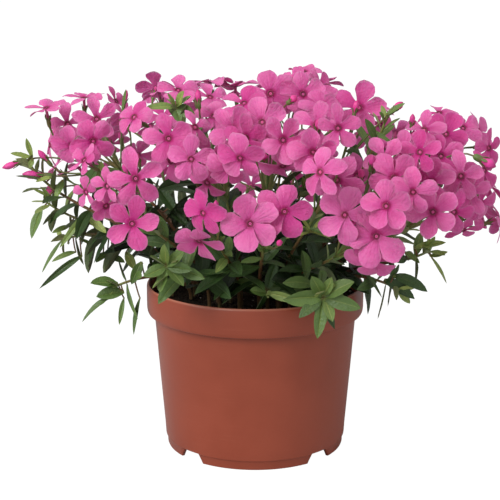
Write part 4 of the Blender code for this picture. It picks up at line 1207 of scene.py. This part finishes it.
def pairedLeaves(g, path, broad):
    start, sizes, step = shootLook["bare"], shootLook["length"], shootLook["step"]
    steps = np.linalg.norm(np.diff(path, axis=0), axis=1)
    length = steps.sum()
    back = np.concatenate([[0.8, 4.0, 8.5], np.arange(14.0, max(length - start, 14.1), step)])
    back = back[back < length - start]
    frames = ringFrames(path, list(length - back))
    centre = np.array([f[0] for f in frames])
    lead = np.array([f[1] for f in frames])
    across = np.array([f[2] for f in frames])
    over = np.array([f[3] for f in frames])
    k = len(back)
    odd = (np.arange(k) % 2 == 1)[:, None]
    away = np.where(odd, over, across)
    away = np.concatenate([away, -away])
    away = units(away + draw.normal(0, 0.2, away.shape))
    centre, lead, back = np.tile(centre, (2, 1)), np.tile(lead, (2, 1)), np.tile(back, 2)
    n = 2 * k
    open_ = 46 + 40 * np.clip(back / 12, 0, 1) if broad else 28 + 46 * np.clip(back / 34, 0, 1)
    open_ = np.radians(open_ + draw.normal(0, 9, n))[:, None]
    out = units(lead * np.cos(open_) + away * np.sin(open_) + np.array([0.0, 0.0, 0.24]))
    up = units(lead * np.sin(open_) - away * np.cos(open_) + np.array([0.0, 0.0, 0.35]))
    up = units(up - out * (up * out).sum(1, keepdims=True))
    roll = draw.normal(0, 0.55, n)[:, None]
    up = up * np.cos(roll) + np.cross(out, up) * np.sin(roll)
    young = (0.62, 1.0, 1.2) if broad else (0.42, 0.7, 1.0)
    size = np.interp(back, [0, 5, 12, 30, 80], [sizes[0] * y for y in young] + [sizes[1], sizes[1] * 0.92])
    size = size * draw.uniform(0.82, 1.12, n)
    half = shootLook["half"] * size * draw.uniform(0.85, 1.15, n) * (1.25 if broad else 1.0) + 0.35
    # Painted shade: the nearer a leaf sits to the crown's middle, the more its tint is lowered, down to near
    # black.
    outer = np.linalg.norm((centre - crownCentre) / crownHalf, axis=1)
    tint = np.interp(back, [0, 6, 18, 60], [0.95, 0.75, 0.55, 0.35]) + draw.normal(0, 0.1, n)
    tint = np.clip(tint - np.interp(outer, [0.3, 0.85], [0.4, 0.0]), 0, 1)
    foot = centre + away * 0.5
    addLeaves(g, foot, out, up, size, half, draw.uniform(0.05, 0.32, n), draw.uniform(*shootLook["fold"], n),
              draw.normal(0, 0.35, n), draw.normal(0, 0.08, n), tint)


# Leaves seen from the front: foot and tip (across, down in pixels), half width in millimetres, droop as a
# share of the length, tint.
leavesSeen = [
    (42, 208, 30, 236, 3.0, 0.1, 0.6), (87, 213, 63, 245, 1.9, 0.2, 0.75),
    (62, 240, 44, 271, 1.6, 0.15, 0.6), (82, 256, 52, 289, 2.1, 0.5, 0.4),
    (76, 252, 53, 261, 1.6, 0.35, 0.7), (88, 217, 106, 232, 2.3, 0.1, 0.95),
    (103, 254, 125, 262, 2.6, 0.1, 0.55), (108, 252, 96, 262, 2.4, 0.1, 0.6),
    (126, 252, 134, 269, 2.6, 0.1, 1.0), (118, 284, 90, 281, 4.0, 0.15, 0.55),
    (124, 292, 97, 298, 3.8, 0.2, 0.5), (115, 296, 88, 320, 2.2, 0.5, 0.5),
    (124, 298, 120, 322, 1.4, 0.2, 0.6), (140, 298, 132, 330, 1.6, 0.2, 0.45),
    (99, 190, 103, 161, 2.8, 0.0, 0.9), (63, 180, 56, 200, 2.3, 0.1, 0.7),
    (52, 177, 36, 182, 1.9, 0.1, 0.9), (32, 157, 27, 138, 1.7, 0.0, 0.85),
    (32, 158, 10, 153, 1.6, 0.1, 0.85), (33, 159, 29, 168, 1.5, 0.0, 0.8),
    (50, 197, 33, 187, 0.9, 0.0, 0.8), (50, 197, 41, 186, 0.9, 0.0, 0.8),
    (158, 188, 175, 211, 3.0, 0.1, 0.3), (168, 208, 187, 226, 2.8, 0.1, 0.3),
    (96, 208, 112, 200, 1.8, 0.1, 0.8), (70, 226, 52, 232, 1.6, 0.1, 0.75),
    (93, 246, 78, 238, 1.7, 0.1, 0.7), (166, 266, 149, 254, 3.0, 0.1, 0.7),
    (166, 266, 186, 252, 3.0, 0.1, 0.65), (166, 266, 146, 279, 3.2, 0.15, 0.6),
    (166, 267, 184, 284, 3.2, 0.15, 0.6), (166, 265, 164, 244, 2.8, 0.0, 0.75),
    (166, 268, 160, 291, 3.0, 0.1, 0.65), (166, 266, 192, 269, 3.0, 0.1, 0.5),
    (178, 288, 177, 319, 2.6, 0.2, 0.6), (142, 262, 130, 282, 2.8, 0.1, 0.5),
    (320, 255, 291, 275, 2.9, 0.1, 0.5), (323, 297, 283, 300, 4.4, 0.1, 0.62),
    (323, 297, 312, 276, 3.5, 0.0, 0.6), (324, 297, 354, 279, 4.2, 0.1, 0.62),
    (323, 299, 318, 336, 3.2, 0.1, 0.58), (324, 298, 333, 320, 2.9, 0.1, 0.7),
    (324, 298, 359, 311, 3.8, 0.2, 0.5), (323, 298, 298, 315, 3.0, 0.1, 0.45),
    (323, 296, 333, 278, 2.8, 0.0, 0.7), (362, 294, 397, 302, 3.8, 0.2, 0.3),
    (358, 298, 382, 317, 3.0, 0.2, 0.22), (393, 276, 424, 292, 3.2, 0.4, 0.35),
    (384, 280, 412, 297, 3.0, 0.35, 0.28), (432, 258, 447, 282, 1.7, 0.1, 0.85),
    (414, 248, 446, 240, 1.9, 0.1, 0.9), (424, 249, 436, 237, 1.7, 0.0, 0.85),
    (430, 256, 448, 253, 1.8, 0.0, 0.9), (405, 252, 420, 262, 1.8, 0.1, 0.7),
    (176, 107, 145, 107, 2.6, 0.1, 0.75), (176, 107, 191, 96, 2.9, 0.0, 0.8),
    (177, 106, 184, 91, 2.7, 0.0, 0.85), (176, 108, 194, 115, 3.4, 0.1, 0.6),
    (175, 106, 167, 94, 2.3, 0.0, 0.85), (176, 109, 180, 122, 2.6, 0.0, 0.55),
    (375, 131, 400, 155, 1.8, 0.1, 0.55), (122, 112, 127, 90, 1.4, 0.0, 0.6),
    (386, 115, 404, 101, 1.6, 0.0, 0.6), (311, 232, 289, 222, 0.9, 0.2, 1.0),
    (311, 232, 331, 238, 0.9, 0.2, 1.0), (311, 231, 300, 217, 0.9, 0.1, 1.0),
    (312, 231, 322, 219, 0.9, 0.1, 1.0), (311, 232, 287, 240, 0.9, 0.2, 1.0),
    (312, 232, 329, 225, 0.9, 0.1, 1.0)]


# Where a point shows in the picture, in pixels: the pinhole formula that seenPoint turns round.
def pictured(points):
    pitch = math.radians(eyePitch)
    x, y, z = (np.asarray(points, float) - np.array(eyePlace)).T
    ahead = y * math.cos(pitch) - z * math.sin(pitch)
    rise = y * math.sin(pitch) + z * math.cos(pitch)
    return np.stack([halfPicture + focalPixels * x / ahead, halfPicture - focalPixels * rise / ahead], -1)


# Each leaf that is seen belongs to the shoot whose stem shows closest to its foot, the nearer stem first,
# and a short twig joins the two.
def giveLeaves():
    owners = np.concatenate([np.full(len(s["path"]), k) for k, s in enumerate(shoots)])
    stations = np.concatenate([s["path"] for s in shoots])
    shown = pictured(stations)
    given = {k: [] for k in range(len(shoots))}
    for leaf in leavesSeen:
        away = np.linalg.norm(shown - np.array(leaf[:2]), axis=1) + 0.12 * stations[:, 1]
        best = int(np.argmin(away))
        given[owners[best]].append((stations[best], leaf))
    return given


# The seen leaves of one shoot. Foot and tip are where their sight lines pass just in front of the stem. The
# twig is the line from stem to foot, bowed along the leaf by 2 s^2 (1 - s).
def seenBlades(leaves, stems, given):
    if not given:
        return
    start = np.array([g[0] for g in given])
    foot = np.array([seenPoint(*g[1][:2], -g[0][1] + 1.0) for g in given])
    tip = np.array([seenPoint(*g[1][2:4], -g[0][1] + 5.0) for g in given])
    half, droop, tint = np.array([g[1][4:] for g in given]).T
    n = len(given)
    up = units(np.array([0.0, -0.75, 0.65]) + draw.normal(0, 0.25, (n, 3)))
    along = tip - foot
    length = np.linalg.norm(along, axis=1)
    down = units(np.array([0.0, 0.0, -1.0]) - up * 0.8)
    out = units(along / length[:, None] - down * droop[:, None])
    up = units(up - out * (up * out).sum(1, keepdims=True))
    fold, twist, bow = draw.uniform(0.15, 0.5, n), draw.normal(0, 0.3, n), draw.normal(0, 0.06, n)
    free = offPot(foot, out, up, length, droop) & offPot(start, foot - start, up, np.ones(n), np.zeros(n))
    start, foot, out, up, length, half, droop, fold, twist, bow, tint = [
        a[free] for a in (start, foot, out, up, length, half, droop, fold, twist, bow, tint)]
    if not len(foot):
        return
    addLeaves(leaves, foot, out, up, length, half, droop, fold, twist, bow, tint)
    s = np.linspace(0, 1, 8)[None, :, None]
    paths = start[:, None] + (foot - start)[:, None] * s + out[:, None] * (2.0 * s ** 2 * (1 - s))
    paths = np.concatenate([paths, (foot + out * 1.5)[:, None]], 1)
    addTubes(stems, paths, np.full(paths.shape[:2], 0.45), 6, tint)


# A shoot: its stem thins towards the tip.
def makeShoot(shoot, given):
    number, path = shoot["number"], shoot["path"]
    leafy = number >= 100
    name = f"leaf_shoot_{number - 99:02d}" if leafy else f"flowering_shoot_{number + 1:02d}"
    stems, leaves = Gathered(), Gathered()
    fine = path[::2]
    radius = np.interp(np.linspace(0, 1, len(fine)), [0, 0.6, 1], [1.05, 0.85, 0.6])
    addTubes(stems, fine[None], radius[None], 8, draw.uniform(0, 1, 1))
    pairedLeaves(leaves, path, leafy and path[-1][2] < shootLook["broadBelow"])
    seenBlades(leaves, stems, given)
    makePiece(f"stem_{name}", stems.mesh("stem"), [stemSkin], [name])
    makePiece(f"leaves_{name}", leaves.mesh("leaves"), [leafFront, leafBack], [name])


given = giveLeaves()
for k, shoot in enumerate(shoots):
    makeShoot(shoot, given[k])
print("shoots made")

# Floor, lights and camera.
look = {"place": (-0.00284, -0.723, 0.2758), "pitch": 12.95, "lens": 96.84, "floor": (0.5, 0.5, 0.5),
        "glow": 0.9, "white": 1.12, "world": 0.68, "key": 39.0, "fill": 2.0}
floorMesh = bpy.data.meshes.new("floor")
floorMesh.from_pydata([(-8, -4, 0), (8, -4, 0), (8, 14, 0), (-8, 14, 0)], [], [(0, 1, 2, 3)])
floor = bpy.data.objects.new("floor", floorMesh)
bpy.context.scene.collection.objects.link(floor)
paint = Finish("floor_paint", 0.9, 0.1)
paint.shader.inputs["Base Color"].default_value = (*look["floor"], 1.0)
glow, seen = paint.node("ShaderNodeEmission"), paint.node("ShaderNodeLightPath")
both = paint.node("ShaderNodeMixShader")
glow.inputs["Strength"].default_value = look["white"]
paint.link(paint.math("MULTIPLY", seen.outputs["Is Camera Ray"], look["glow"]), both.inputs[0])
paint.link(paint.shader.outputs[0], both.inputs[1])
paint.link(glow.outputs[0], both.inputs[2])
paint.link(both.outputs[0], paint.tree.nodes["Material Output"].inputs["Surface"])
floorMesh.materials.append(paint.material)


def addLamp(name, place, size, power):
    lamp = bpy.data.lights.new(name, "AREA")
    lamp.energy, lamp.size = power, size
    lampObject = bpy.data.objects.new(name, lamp)
    lampObject.location = place
    bpy.context.scene.collection.objects.link(lampObject)
    toward = np.array([0.0, 0.0, 0.11]) - np.array(place)
    level = math.hypot(toward[0], toward[1])
    lampObject.rotation_euler = (math.atan2(level, -toward[2]), 0.0, math.atan2(-toward[0], toward[1]))


addLamp("key_light", (-1.15, -1.2, 1.35), 1.2, look["key"])
addLamp("fill_light", (1.4, -0.9, 0.9), 1.6, look["fill"])
world = bpy.data.worlds.new("studio")
bpy.context.scene.world = world
world.use_nodes = True
world.node_tree.nodes["Background"].inputs["Color"].default_value = (1.0, 1.0, 1.0, 1.0)
world.node_tree.nodes["Background"].inputs["Strength"].default_value = look["world"]
bpy.context.scene.view_settings.view_transform = "Standard"
cameraData = bpy.data.cameras.new("camera")
cameraData.lens, cameraData.sensor_width = look["lens"], 36.0
camera = bpy.data.objects.new("camera", cameraData)
camera.location = look["place"]
camera.rotation_euler = (math.radians(90.0 - look["pitch"]), 0.0, 0.0)
bpy.context.scene.collection.objects.link(camera)
bpy.context.scene.camera = camera
